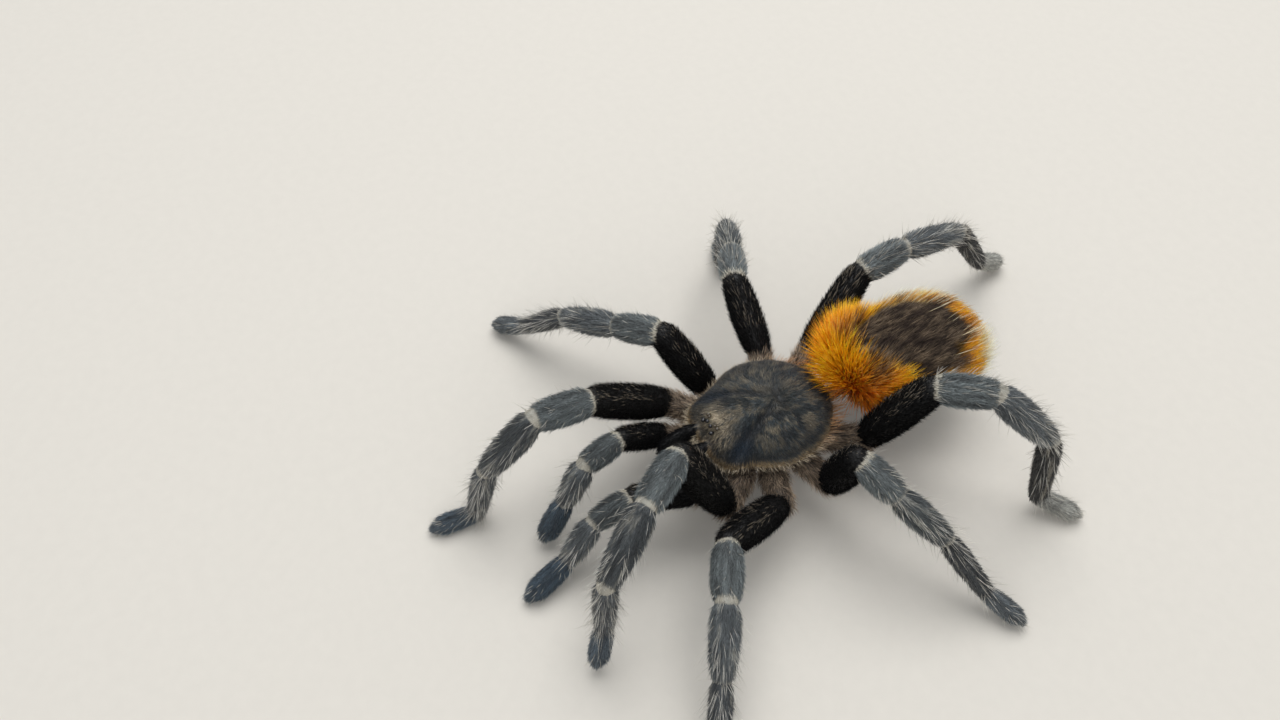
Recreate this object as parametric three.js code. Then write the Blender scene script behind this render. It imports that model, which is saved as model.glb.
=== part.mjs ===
// A dark highland tarantula with an orange and yellow abdomen, standing still, life size.
// Millimetres, +Z up. The head looks along -Y and the animal's own left is +X.
// The solids reach to the ends of the dense coat; single long bristles stand beyond them.

import * as THREE from 'three';
import { mergeVertices } from 'three/addons/utils/BufferGeometryUtils.js';

// ---------------------------------------------------------------- driving dimensions

const gap = 0.3; // clear space where two pieces meet

const bodyHeight = 10.2; // middle of the carapace rim above the floor
const bodyPitch = 2.5; // degrees, the rear end carried higher

// The carapace, its raised head, the pit behind it and the mound that carries the eyes.
const carapace = {
  length: 17, width: 15, dome: 2.8, rim: 0.8, keel: 1.1,
  shoulder: 2.4, // 2 gives the dome an elliptical section, and more makes it flatter on top
};
const head = { at: -4.6, rise: 1.0, halfWidth: 3.0, halfLength: 3.5 };
const fovea = { at: 2.1, depth: 0.45, halfWidth: 1.5, halfLength: 0.8 };
const eyeMound = { at: -6.6, rise: 0.75, halfWidth: 1.15, halfLength: 0.75 };

// Where the rim leaves its oval: the bearing from straight ahead and the spread, both in degrees.
const squareFront = { by: 0.07, bearing: 28, spread: 16 };
const waistline = { by: -0.08, bearing: 58, spread: 20 };

// What hangs under the carapace, with heights from the middle of its rim.
const sternum = { at: -0.2, length: 10.6, width: 6.3, top: -1.7, bottom: -4.7, frontFullness: 0.16 };
const pedicel = { radius: 0.85, from: 5.8, to: 9.35, level: -2.2, rise: 0.6 };
const chelicera = {
  aside: 1.37, from: -9.0, length: 4.3, halfWidth: 1.2, halfHeight: 2.05, level: 0.1, droop: 1.3,
  // How far along, what share of the girth, and what share of the droop.
  profile: [[0, 0.9, 0], [0.28, 1, 0.1], [0.62, 0.98, 0.4], [0.86, 0.78, 0.78], [0.97, 0.45, 1]],
};
const fang = { aside: 1.3, from: -12.7, top: -2.85, length: 3.6, drop: 2.15, radius: 0.42, tip: 0.22 };

// The abdomen is fuller behind, and its front end is lifted over the waist.
const abdomen = {
  at: 19.1, level: 10.2, length: 21.8, width: 14.7, top: 6.8, bottom: 6.6,
  rearFullness: 0.18, taper: 0.06, frontLift: 3.4,
  blunt: 0.41, // 0.5 gives the ends of an ellipsoid, and less makes them blunter
};
const spinneret = {
  aside: 1.3, from: 28.8, level: 5.7, length: 3.4, radius: 0.75, rise: 0.5, spread: 0.7,
  // How far along, and what share of the radius.
  profile: [[0, 0.9], [0.35, 1], [0.7, 0.8], [0.93, 0.62], [1, 0.35]],
};

// Eyes on their mound: how far aside, how far forward of the mound's middle, and the radius.
const eyeStand = 2.2; // an eye's middle is this many radii above the mound
const eyes = {
  front_middle: { aside: 0.36, forward: 0.42, radius: 0.24 },
  front_side: { aside: 0.98, forward: 0.62, radius: 0.25 },
  rear_middle: { aside: 0.7, forward: 0.0, radius: 0.17 },
  rear_side: { aside: 1.08, forward: -0.08, radius: 0.21 },
};

// Where each coxa leaves the sternum, on the left side, and how low the coxae sit.
const coxaDrop = 3.2;
const coxaRoots = { 1: [3.8, -4.3], 2: [4.1, -1.2], 3: [4.1, 2.0], 4: [3.3, 5.0], palp: [2.4, -6.9] };

// Lengths from joint to joint; "hip" is the coxa with its trochanter.
const lengths = {
  1: { hip: 5.9, femur: 11.6, patella: 7.2, tibia: 9.0, metatarsus: 8.4, tarsus: 6.0 },
  2: { hip: 5.7, femur: 10.8, patella: 6.8, tibia: 8.2, metatarsus: 8.0, tarsus: 5.8 },
  3: { hip: 5.6, femur: 9.8, patella: 6.0, tibia: 7.4, metatarsus: 8.6, tarsus: 5.8 },
  4: { hip: 6.1, femur: 12.0, patella: 6.8, tibia: 9.8, metatarsus: 11.4, tarsus: 6.0 },
  palp: { hip: 4.3, femur: 8.0, patella: 5.2, tibia: 6.0, tarsus: 6.4 },
};

// Half widths of the segments with their coat; the legs of some pairs are stouter.
const legGirth = {
  root: 1.32, coxa: 1.6, trochanter: 1.55, femur: 2.05, patella: 1.92, tibia: 1.8,
  metatarsus: 1.42, tarsus: 1.34,
};
const palpGirth = {
  root: 1.1, coxa: 1.35, trochanter: 1.3, femur: 1.75, patella: 1.75, tibia: 1.72, tarsus: 1.6,
};
const stoutness = { 1: 1.1, 2: 1.06, 3: 1.04, 4: 1.08, palp: 1.0 };
const deeper = 1.08; // a segment is this much deeper than it is wide
const soleHeight = 0.8; // middle of a foot's tip above the floor
const steepest = 84.3; // degrees that a segment may drop on its way to the floor
const closestRings = 0.2; // rings nearer to each other than this become one

// The stance, in degrees. A heading is 0 straight out to the side and -90 straight ahead;
// a lift is above level. The metatarsus (tibia of a palp) drops as far as the floor asks.
const stance = {
  left_1: { hip: [-49, 6], femur: [-120, 61], shank: [-54, 3, -22], foot: [-48, -64] },
  left_2: { hip: [-14, -3], femur: [-68, 24], shank: [-29, 2, -36], foot: [-29, -13] },
  left_3: { hip: [22, -12], femur: [8, 72], shank: [32, -29, -27], foot: [32, -22] },
  left_4: { hip: [52, 14], femur: [62, 61], shank: [52, 8, -41], foot: [45, -16] },
  right_1: { hip: [-49, 12], femur: [-90, 33], shank: [-93, 10, -43], foot: [-86, -5] },
  right_2: { hip: [-10, -24], femur: [-45, 54], shank: [-37, -20, -19], foot: [-40, -24] },
  right_3: { hip: [30, 14], femur: [0, 36], shank: [24, -8, -21], foot: [24, -14] },
  right_4: { hip: [57, 14], femur: [63, 28], shank: [85, 8, -12], foot: [84, -30] },
  left_palp: { hip: [-60, 0], femur: [-104, 15], shank: [-85, -18], foot: [-75, -18] },
  right_palp: { hip: [-61, 0], femur: [-102, 38], shank: [-104, -4], foot: [-103, -56] },
};

const limbSides = 10; // facets round a limb
const shellSides = 32; // facets round the carapace and the abdomen

// ---------------------------------------------------------------- finishes

function finish(color, roughness) {
  return new THREE.MeshStandardMaterial({ color, roughness, metalness: 0 });
}

const makeFinish = {
  carapace: () => finish('#33383a', 0.7),
  abdomen: () => finish('#c9810f', 0.9),
  hip: () => finish('#6f6459', 0.9),
  femur: () => finish('#141414', 0.95),
  shank: () => finish('#55616b', 0.9),
  foot: () => finish('#4a5158', 0.9),
  underside: () => finish('#2a2826', 0.9),
  horn: () => finish('#1a0f0c', 0.25),
  eye: () => finish('#0c0b0e', 0.08),
};

// ---------------------------------------------------------------- geometry helpers

const up = new THREE.Vector3(0, 0, 1);
const radians = THREE.MathUtils.degToRad;

/** A closed geometry that holds positions only, with its shared vertices merged. */
function bare(geometry) {
  geometry.deleteAttribute('normal');
  geometry.deleteAttribute('uv');
  return mergeVertices(geometry, 1e-5);
}

/** Moves every vertex of a geometry through a function of its place. */
function reshape(geometry, move) {
  const place = geometry.getAttribute('position');
  const point = new THREE.Vector3();
  for (let i = 0; i < place.count; i += 1) {
    point.fromBufferAttribute(place, i);
    move(point);
    place.setXYZ(i, point.x, point.y, point.z);
  }
  return geometry;
}

/** A smooth hump of height 1 at zero that fades out over about twice the width. */
function hump(distance, width) {
  return Math.exp(-((distance / width) ** 2));
}

/** A ring across a limb: its middle, the way the limb runs, its side, and its half width and height. */
function ring(at, along, side, halfWidth, halfHeight = halfWidth * deeper) {
  const across = side.clone().addScaledVector(along, -side.dot(along)).normalize();
  const above = across.clone().cross(along).normalize();
  return { at: at.clone(), across, above, halfWidth, halfHeight };
}

/** A closed solid through a row of rings, turned on the lathe and then laid along them. */
function solidThrough(rings, sides = limbSides) {
  const last = rings.length - 1;
  const profile = [new THREE.Vector2(0, 0)];
  rings.forEach((_, index) => profile.push(new THREE.Vector2(1, index)));
  profile.push(new THREE.Vector2(0, last));
  return reshape(bare(new THREE.LatheGeometry(profile, sides)), (point) => {
    const { at, across, above, halfWidth, halfHeight } = rings[Math.round(point.y)];
    const [x, z] = [point.x * halfWidth, point.z * halfHeight];
    point.copy(at).addScaledVector(across, x).addScaledVector(above, z);
  });
}

/** A mesh whose geometry is measured from its own origin, placed there. */
function meshAt(name, geometry, material, origin = new THREE.Vector3()) {
  const mesh = new THREE.Mesh(geometry.translate(-origin.x, -origin.y, -origin.z), material);
  mesh.name = name;
  mesh.position.copy(origin);
  return mesh;
}

// ---------------------------------------------------------------- head and thorax

/** How far the carapace rim is from its middle, in a direction turned from straight ahead. */
function rimRadius(turn) {
  const [across, ahead] = [Math.sin(turn) / (carapace.width / 2), Math.cos(turn) / (carapace.length / 2)];
  const oval = 1 / Math.hypot(across, ahead);
  const leaves = ({ by, bearing, spread }) => by * hump(turn - radians(bearing), radians(spread));
  return oval * (1 + leaves(squareFront) + leaves(waistline));
}

/** Height of the carapace's upper face over its rim, at a place on it. */
function carapaceTop(x, y, reach) {
  const shell = carapace.rim / 2 + carapace.dome * Math.sqrt(Math.max(0, 1 - reach ** carapace.shoulder));
  const inner = Math.max(0, 1 - reach ** 4);
  const swelling = ({ at, halfWidth, halfLength }) => hump(x, halfWidth) * hump(y - at, halfLength);
  const crown = head.rise * swelling(head) - fovea.depth * swelling(fovea);
  return shell + inner * crown + eyeMound.rise * swelling(eyeMound);
}

function makeCarapace() {
  const shell = reshape(bare(new THREE.SphereGeometry(1, shellSides, 14)), (point) => {
    const [x, y, z] = [point.x, point.z, point.y];
    const reach = Math.min(1, Math.hypot(x, y));
    const radius = rimRadius(Math.atan2(Math.abs(x), -y)) * reach;
    const bearing = Math.atan2(y, x);
    point.set(radius * Math.cos(bearing), radius * Math.sin(bearing), 0);
    const below = -carapace.rim / 2 - carapace.keel * (1 - reach ** 2);
    point.z = z > 0 ? carapaceTop(point.x, point.y, reach) : below;
    if (Math.abs(z) < 1e-6) point.z = 0;
  });
  return meshAt('carapace', turnedOut(shell), makeFinish.carapace());
}

/** Swaps each triangle's winding, for a geometry that a mirrored reshaping has turned inside out. */
function turnedOut(geometry) {
  const index = geometry.getIndex();
  for (let i = 0; i < index.count; i += 3) {
    const [b, c] = [index.getX(i + 1), index.getX(i + 2)];
    index.setX(i + 1, c);
    index.setX(i + 2, b);
  }
  return geometry;
}

function makeEye(name, side, { aside, forward, radius }) {
  const [x, y] = [side * aside, eyeMound.at - forward];
  const reach = Math.hypot(x, y) / rimRadius(Math.atan2(Math.abs(x), -y));
  const ball = bare(new THREE.SphereGeometry(radius, 8, 6));
  const mesh = meshAt(name, ball, makeFinish.eye());
  mesh.position.set(x, y, carapaceTop(x, y, reach) + radius * eyeStand);
  return mesh;
}

function makeSternum() {
  const depth = (sternum.top - sternum.bottom) / 2;
  const plate = reshape(bare(new THREE.SphereGeometry(1, 16, 8)), (point) => {
    const [x, y, z] = [point.x, -point.z, point.y];
    const heart = 1 - sternum.frontFullness * y;
    point.set(x * heart * sternum.width / 2, y * sternum.length / 2, Math.cbrt(z) * depth);
  });
  const mesh = meshAt('sternum', plate, makeFinish.underside());
  mesh.position.set(0, sternum.at, sternum.bottom + depth);
  return mesh;
}

function makePedicel() {
  const back = new THREE.Vector3(0, 1, 0);
  const side = new THREE.Vector3(1, 0, 0);
  const rings = [0, 0.5, 1].map((part) => {
    const y = THREE.MathUtils.lerp(pedicel.from, pedicel.to, part);
    const at = new THREE.Vector3(0, y, pedicel.level + part * pedicel.rise);
    return ring(at, back, side, pedicel.radius);
  });
  return meshAt('pedicel', solidThrough(rings, 8), makeFinish.underside());
}

function makeChelicera(name, side) {
  const ahead = new THREE.Vector3(0, -1, 0);
  const across = new THREE.Vector3(-1, 0, 0);
  const rings = chelicera.profile.map(([run, scale, sink]) => {
    const y = chelicera.from - run * chelicera.length;
    const at = new THREE.Vector3(side * chelicera.aside, y, chelicera.level - sink * chelicera.droop);
    return ring(at, ahead, across, chelicera.halfWidth * scale, chelicera.halfHeight * scale);
  });
  return meshAt(name, solidThrough(rings), makeFinish.femur());
}

function makeFang(name, side) {
  const steps = 4;
  const across = new THREE.Vector3(1, 0, 0);
  const rings = [];
  for (let i = 0; i <= steps; i += 1) {
    const turn = (i / steps) * Math.PI / 2;
    const at = new THREE.Vector3(side * fang.aside, fang.from + fang.length * (1 - Math.cos(turn)), 0);
    at.z = fang.top - fang.drop * Math.sin(turn);
    const along = new THREE.Vector3(0, fang.length * Math.sin(turn), -fang.drop * Math.cos(turn));
    const radius = THREE.MathUtils.lerp(fang.radius, fang.tip, i / steps);
    rings.push(ring(at, along.normalize(), across, radius));
  }
  return meshAt(name, solidThrough(rings, 8), makeFinish.horn());
}

function makeProsoma() {
  const prosoma = new THREE.Group();
  prosoma.add(makeCarapace(), makeSternum(), makePedicel());
  for (const [word, side] of [['left', 1], ['right', -1]]) {
    prosoma.add(makeChelicera(`${word}_chelicera`, side), makeFang(`${word}_fang`, side));
    for (const [place, eye] of Object.entries(eyes)) prosoma.add(makeEye(`${word}_eye_${place}`, side, eye));
  }
  prosoma.position.z = bodyHeight;
  prosoma.rotation.x = radians(bodyPitch);
  prosoma.updateMatrix();
  return prosoma;
}

// ---------------------------------------------------------------- abdomen

function makeAbdomen() {
  const egg = reshape(bare(new THREE.SphereGeometry(1, shellSides, 16)), (point) => {
    const [x, y, z] = [point.x, -point.y, point.z];
    const ends = Math.max(1 - y * y, 1e-3) ** (abdomen.blunt - 0.5);
    const fullness = ends * (1 + abdomen.rearFullness * y - abdomen.taper * y * y);
    const height = z > 0 ? abdomen.top : abdomen.bottom;
    const lift = abdomen.frontLift * ((1 - y) / 2) ** 2;
    point.set(x * fullness * abdomen.width / 2, y * abdomen.length / 2, z * fullness * height + lift);
  });
  const mesh = meshAt('abdomen', turnedOut(egg), makeFinish.abdomen());
  mesh.position.set(0, abdomen.at, abdomen.level);
  return mesh;
}

function makeSpinneret(name, side) {
  const start = new THREE.Vector3(side * spinneret.aside, spinneret.from, spinneret.level);
  const run = new THREE.Vector3(side * spinneret.spread, spinneret.length, spinneret.rise);
  const along = run.clone().normalize();
  const across = new THREE.Vector3(1, 0, 0);
  const rings = spinneret.profile.map(([part, scale]) => {
    const radius = scale * spinneret.radius;
    return ring(start.clone().addScaledVector(run, part), along, across, radius, radius);
  });
  return meshAt(name, solidThrough(rings, 8), makeFinish.underside(), start);
}

// ---------------------------------------------------------------- legs and palps

/** A unit vector for a heading and a lift in degrees, on the left (1) or right (-1) side. */
function direction(side, heading, lift) {
  const [turn, rise] = [radians(heading), radians(lift)];
  const level = Math.cos(rise);
  return new THREE.Vector3(side * Math.cos(turn) * level, Math.sin(turn) * level, Math.sin(rise));
}

/** The lift that takes a segment from a height down to the floor, past a last segment of its own lift. */
function liftToFloor(height, length, lastLength, lastLift) {
  const fall = soleHeight - height - lastLength * Math.sin(radians(lastLift));
  const limit = Math.sin(radians(steepest));
  return THREE.MathUtils.radToDeg(Math.asin(THREE.MathUtils.clamp(fall / length, -limit, limit)));
}

/** Every segment of one limb: its name, girth, length, direction, side vector and first joint. */
function layOut(side, kind, pose, prosoma) {
  const size = lengths[kind];
  const [rootX, rootY] = coxaRoots[kind];
  const at = new THREE.Vector3(side * rootX, rootY, -coxaDrop).applyMatrix4(prosoma.matrix);
  const segments = [];
  const lay = (part, heading, lift) => {
    const along = direction(side, heading, lift);
    const across = direction(side, heading, 0).cross(up);
    segments.push({ part, along, across, length: size[part], start: at.clone() });
    at.addScaledVector(along, size[part]);
  };
  const [shankHeading, patellaLift, tibiaLift] = pose.shank;
  const [footHeading, tarsusLift] = pose.foot;
  const drop = kind === 'palp' ? 'tibia' : 'metatarsus';
  lay('hip', ...pose.hip);
  lay('femur', ...pose.femur);
  lay('patella', shankHeading, patellaLift);
  if (kind !== 'palp') lay('tibia', shankHeading, tibiaLift);
  lay(drop, footHeading, liftToFloor(at.z, size[drop], size.tarsus, tarsusLift));
  lay('tarsus', footHeading, tarsusLift);
  return segments;
}

// Along each segment: how far, and how much of the segment's half width; 0 and 1 are its joints.
const swell = {
  hip: [[0.3, 'coxa', 1], [0.6, 'coxa', 1.02], [0.72, 'trochanter', 0.92], [0.84, 'trochanter', 1.0]],
  femur: [[0.2, 'femur', 0.94], [0.45, 'femur', 1.02], [0.76, 'femur', 0.98]],
  patella: [[0.36, 'patella', 1.02], [0.7, 'patella', 1.0]],
  tibia: [[0.25, 'tibia', 1.03], [0.7, 'tibia', 0.96]],
  metatarsus: [[0.24, 'metatarsus', 1.04], [0.68, 'metatarsus', 0.96]],
  tarsus: [[0.28, 'tarsus', 0.98], [0.68, 'tarsus', 1.0], [0.9, 'tarsus', 0.86], [1.0, 'tarsus', 0.54]],
};

/** Half width at the joint where a segment begins, as a share of its own girth. */
const neck = { hip: 0.98, femur: 0.76, patella: 0.94, tibia: 0.92, metatarsus: 0.96, tarsus: 0.92 };

/** The plane of a joint: the middle of the joint, the way through it, and its side. */
function jointAt(before, after) {
  const along = before.along.clone().add(after.along).normalize();
  const across = before.across.clone().add(after.across).normalize();
  const bend = before.along.angleTo(after.along);
  return { at: after.start, along, across, bend };
}

/** The rings of one segment between its two joints, kept clear of the joints' planes. */
function ringsBetween(segment, first, last, girth) {
  const rings = [];
  for (const [share, part, scale] of swell[segment.part]) {
    const radius = girth[part] * scale;
    const nearest = first ? radius * deeper * Math.tan(first.bend / 2) + gap : 0;
    const farthest = segment.length - (last ? radius * deeper * Math.tan(last.bend / 2) + gap : 0);
    const run = THREE.MathUtils.clamp(share * segment.length, nearest, Math.max(nearest, farthest));
    const at = segment.start.clone().addScaledVector(segment.along, run);
    rings.push({ run, ring: ring(at, segment.along, segment.across, radius) });
  }
  const apart = ({ run }, i) => i === 0 || run > rings[i - 1].run + closestRings;
  return rings.filter(apart).map((entry) => entry.ring);
}

/** One named piece of a limb, made of one or two segments in a row. */
function makeLimbPiece(name, segments, from, count, girth, material) {
  const rings = [];
  const joints = segments.map((segment, i) => (i ? jointAt(segments[i - 1], segment) : null));
  for (let i = from; i < from + count; i += 1) {
    const segment = segments[i];
    const joint = joints[i];
    const share = girth[segment.part === 'hip' ? 'root' : segment.part] * neck[segment.part];
    if (!joint) rings.push(ring(segment.start, segment.along, segment.across, share, girth.coxa));
    if (joint) {
      const face = joint.at.clone().addScaledVector(joint.along, i === from ? gap / 2 : 0);
      rings.push(ring(face, joint.along, joint.across, share));
    }
    rings.push(...ringsBetween(segment, joint, joints[i + 1], girth));
  }
  const next = segments[from + count];
  if (next) {
    const joint = joints[from + count];
    const share = girth[next.part] * neck[next.part];
    const face = joint.at.clone().addScaledVector(joint.along, -gap / 2);
    rings.push(ring(face, joint.along, joint.across, share));
  }
  const solid = reshape(solidThrough(rings), (point) => {
    point.z = Math.max(point.z, 0);
  });
  return meshAt(name, solid, material, segments[from].start);
}

function makeLimb(word, side, kind, prosoma) {
  const name = kind === 'palp' ? `${word}_palp` : `${word}_leg_${kind}`;
  const segments = layOut(side, kind, stance[`${word}_${kind}`], prosoma);
  const limb = new THREE.Group();
  const girth = { ...(kind === 'palp' ? palpGirth : legGirth) };
  for (const part of Object.keys(girth)) girth[part] *= stoutness[kind];
  limb.add(makeLimbPiece(`${name}_coxa_trochanter`, segments, 0, 1, girth, makeFinish.hip()));
  limb.add(makeLimbPiece(`${name}_femur`, segments, 1, 1, girth, makeFinish.femur()));
  limb.add(makeLimbPiece(`${name}_patella_tibia`, segments, 2, 2, girth, makeFinish.shank()));
  const foot = kind === 'palp' ? 'tarsus' : 'metatarsus_tarsus';
  limb.add(makeLimbPiece(`${name}_${foot}`, segments, 4, segments.length - 4, girth, makeFinish.foot()));
  return limb;
}

// ---------------------------------------------------------------- the whole animal

const tarantula = new THREE.Group();
const prosoma = makeProsoma();
tarantula.add(prosoma, makeAbdomen());
for (const [word, side] of [['left', 1], ['right', -1]]) {
  tarantula.add(makeSpinneret(`${word}_spinneret`, side));
  for (const kind of ['1', '2', '3', '4', 'palp']) tarantula.add(makeLimb(word, side, kind, prosoma));
}

// The origin is the middle of the floor area that the animal covers.
const middle = new THREE.Box3().setFromObject(tarantula).getCenter(new THREE.Vector3());
tarantula.position.set(-middle.x, -middle.y, 0);

export default tarantula;
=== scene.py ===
"""A dark highland tarantula at life size: one skin, a coat of mesh hair, eyes, fangs and claws.

Lengths are millimetres in the animal's own frame: the middle of the carapace rim stands over the
origin, the head looks along -Y, the animal's left is +X and the floor is z = 0. They turn into
metres in the part's frame where a mesh is made.
"""

import sys
import logging
import math
from collections.abc import Callable, Iterable, Sequence
from dataclasses import dataclass, field, fields
from enum import Enum
from typing import TypeVar

import bpy
import numpy as np
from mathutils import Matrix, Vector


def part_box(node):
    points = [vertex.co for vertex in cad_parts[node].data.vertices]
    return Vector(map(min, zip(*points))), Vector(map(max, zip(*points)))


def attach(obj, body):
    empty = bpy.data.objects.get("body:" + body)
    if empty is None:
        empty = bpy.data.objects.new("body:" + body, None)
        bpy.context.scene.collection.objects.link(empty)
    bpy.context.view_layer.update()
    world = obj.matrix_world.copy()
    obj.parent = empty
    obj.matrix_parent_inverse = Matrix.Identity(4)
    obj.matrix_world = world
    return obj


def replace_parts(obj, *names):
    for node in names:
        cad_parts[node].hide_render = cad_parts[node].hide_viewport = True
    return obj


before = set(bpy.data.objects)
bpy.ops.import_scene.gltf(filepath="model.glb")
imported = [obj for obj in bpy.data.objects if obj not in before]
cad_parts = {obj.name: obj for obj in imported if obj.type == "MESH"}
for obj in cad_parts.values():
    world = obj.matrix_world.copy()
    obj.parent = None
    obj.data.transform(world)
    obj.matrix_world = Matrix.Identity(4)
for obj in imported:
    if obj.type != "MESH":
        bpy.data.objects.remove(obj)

log = logging.getLogger("tarantula")
Array = np.ndarray
Form = tuple[Array, Array]  # a closed form's points, and its triangles as numbers of points
Table = TypeVar("Table")  # a dataclass of arrays that have a row for each point or hair

MM = 0.001  # metres in a millimetre
BODY = "root"  # the one body that every piece rides on
COLOUR_LAYER = "Markings"  # the colour attribute that skin and coat share
BAKE_MAP = "OFBake"  # the map that each coat piece is unwrapped on
MOST_TRIANGLES = 200_000  # in one piece of the coat
BATCH = 8192  # points surveyed at a time


class Part(Enum):
    """The divisions of the body that carry a coat of their own."""

    HIP = 0  # coxa and trochanter
    FEMUR = 1
    PATELLA = 2
    TIBIA = 3
    METATARSUS = 4
    TARSUS = 5
    CARAPACE = 6
    JAW = 7  # the stout base of a chelicera
    UNDERSIDE = 8  # sternum, flanks under the carapace, and waist
    ABDOMEN = 9
    SPINNERET = 10


class Side(Enum):
    """The animal's own sides, as signs of x."""

    LEFT = 1
    RIGHT = -1


# ---- small mathematics


def unit(vectors: Array) -> Array:
    """Vectors scaled to length one."""
    return vectors / np.maximum(np.linalg.norm(vectors, axis=-1, keepdims=True), 1e-9)


def hump(distance: Array | float, width: float) -> Array:
    """A smooth hump of height one at zero that fades out over about twice the width."""
    return np.exp(-np.square(distance / width))


def ramp(value: Array, start: float, end: float) -> Array:
    """A smooth step from 0 at start to 1 at end, where end may be the lower of the two."""
    share = np.clip((value - start) / (end - start), 0, 1)
    return share * share * (3 - 2 * share)


def mix(first: Array, second: Array, share: Array | float) -> Array:
    """Rows between two arrays of rows.

    Args:
        first: Rows where the share is 0.
        second: Rows where the share is 1.
        share: One number, or one for each row.

    Returns:
        The mixed rows.
    """
    weight = np.asarray(share)[..., None]
    return first * (1 - weight) + second * weight


def pick(table: Table, keep: Array) -> Table:
    """Some of the rows of a table, by mask or by number."""
    return type(table)(*(getattr(table, entry.name)[keep] for entry in fields(table)))


def curve_through(shares: Sequence[float], values: Sequence[float], at: Array) -> Array:
    """A smooth curve through a few stations.

    Args:
        shares: Where the stations are, in rising order.
        values: The curve's value at each station.
        at: Where the curve is wanted.

    Returns:
        The curve's values there.
    """
    xs, ys = np.asarray(shares, float), np.asarray(values, float)
    slopes = np.gradient(ys, xs)
    low = np.clip(np.searchsorted(xs, at) - 1, 0, len(xs) - 2)
    span = xs[low + 1] - xs[low]
    t = np.clip((at - xs[low]) / span, 0, 1)
    rise = t * t * (3 - 2 * t)
    first = t * (1 - t) ** 2 * slopes[low] * span
    second = t * t * (t - 1) * slopes[low + 1] * span
    return ys[low] * (1 - rise) + ys[low + 1] * rise + first + second


def linear(hex_colour: str) -> Array:
    """A colour written as sRGB hex, turned into linear red, green and blue."""
    srgb = np.array([int(hex_colour[i:i + 2], 16) / 255 for i in (1, 3, 5)])
    return np.where(srgb <= 0.04045, srgb / 12.92, ((srgb + 0.055) / 1.055) ** 2.4)


class Mottle:
    """Smooth random variation over space, the same in every run."""

    CELLS = 32

    def __init__(self, seed: int) -> None:
        """Fills the table of random values that repeats through space."""
        self.table = np.random.default_rng(seed).random((self.CELLS,) * 3)

    def at(self, places: Array, grain: float) -> Array:
        """The variation at some places.

        Args:
            places: Rows of three coordinates, in millimetres.
            grain: The size of one blotch, in millimetres.

        Returns:
            A number from 0 to 1 for each place.
        """
        scaled = places / grain
        cell = np.floor(scaled).astype(int)
        part = scaled - cell
        part = part * part * (3 - 2 * part)
        total = np.zeros(len(places))
        for corner in np.ndindex(2, 2, 2):
            x, y, z = ((cell + corner) % self.CELLS).T
            weight = np.prod(np.where(corner, part, 1 - part), axis=1)
            total += weight * self.table[x, y, z]
        return total


# ---- meshes


@dataclass(frozen=True)
class Ground:
    """Where the animal's own frame lies in the part's frame, in millimetres."""

    x: float
    y: float

    def place(self, points: Array) -> Array:
        """Points of the animal's frame, in metres in the part's frame."""
        return (points + np.array([self.x, self.y, 0.0])) * MM


@dataclass
class Soup:
    """Triangles gathered from many closed forms."""

    points: list[Array] = field(default_factory=list)
    triangles: list[Array] = field(default_factory=list)
    count: int = 0

    def add(self, points: Array, triangles: Array) -> None:
        """Adds one closed form.

        Args:
            points: Its points.
            triangles: Its triangles, which count its own points.
        """
        self.points.append(points)
        self.triangles.append(triangles + self.count)
        self.count += len(points)

    def joined(self) -> Form:
        """All points and all triangles, as two arrays."""
        return np.concatenate(self.points), np.concatenate(self.triangles)


def raw_mesh(name: str, points: Array, triangles: Array) -> bpy.types.Mesh:
    """Makes a mesh of smooth triangles.

    Args:
        name: The mesh's name.
        points: Its points.
        triangles: Three point numbers for each triangle.

    Returns:
        The mesh.
    """
    mesh = bpy.data.meshes.new(name)
    mesh.vertices.add(len(points))
    mesh.vertices.foreach_set("co", points.astype(np.float32).ravel())
    mesh.loops.add(3 * len(triangles))
    mesh.loops.foreach_set("vertex_index", triangles.astype(np.int32).ravel())
    mesh.polygons.add(len(triangles))
    mesh.polygons.foreach_set("loop_start", np.arange(0, 3 * len(triangles), 3, dtype=np.int32))
    mesh.update(calc_edges=True)
    mesh.shade_smooth()
    return mesh


def read_rows(items: Sequence, entry: str, kind: type) -> Array:
    """Reads three numbers of each item of a mesh.

    Args:
        items: The mesh's points, triangles or normals.
        entry: What the numbers are called.
        kind: The type of the numbers.

    Returns:
        A row for each item.
    """
    rows = np.empty(len(items) * 3, kind)
    items.foreach_get(entry, rows)
    return rows.reshape(-1, 3)


def add_object(name: str, data: bpy.types.ID) -> bpy.types.Object:
    """Puts a new object in the scene.

    Args:
        name: The object's name.
        data: Its mesh, light or camera.

    Returns:
        The object.
    """
    added = bpy.data.objects.new(name, data)
    bpy.context.scene.collection.objects.link(added)
    return added


def grid_faces(rings: int, sides: int) -> Array:
    """Triangles between the closed rings of a form, and over the single points at its two ends.

    Args:
        rings: How many rings there are. The end points follow them in the list of points.
        sides: How many points each ring has.

    Returns:
        The triangles, facing out.
    """
    here, ring = np.meshgrid(np.arange(sides), np.arange(rings - 1))
    a = ring * sides + here
    b = ring * sides + (here + 1) % sides
    c, d = a + sides, b + sides
    wall = np.stack([np.stack([a, b, d], -1), np.stack([a, d, c], -1)], 2).reshape(-1, 3)
    turn = np.arange(sides)
    after = (turn + 1) % sides
    last = (rings - 1) * sides
    start = np.stack([np.full(sides, rings * sides), after, turn], -1)
    end = np.stack([np.full(sides, rings * sides + 1), last + turn, last + after], -1)
    return np.concatenate([wall, start, end])


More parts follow.
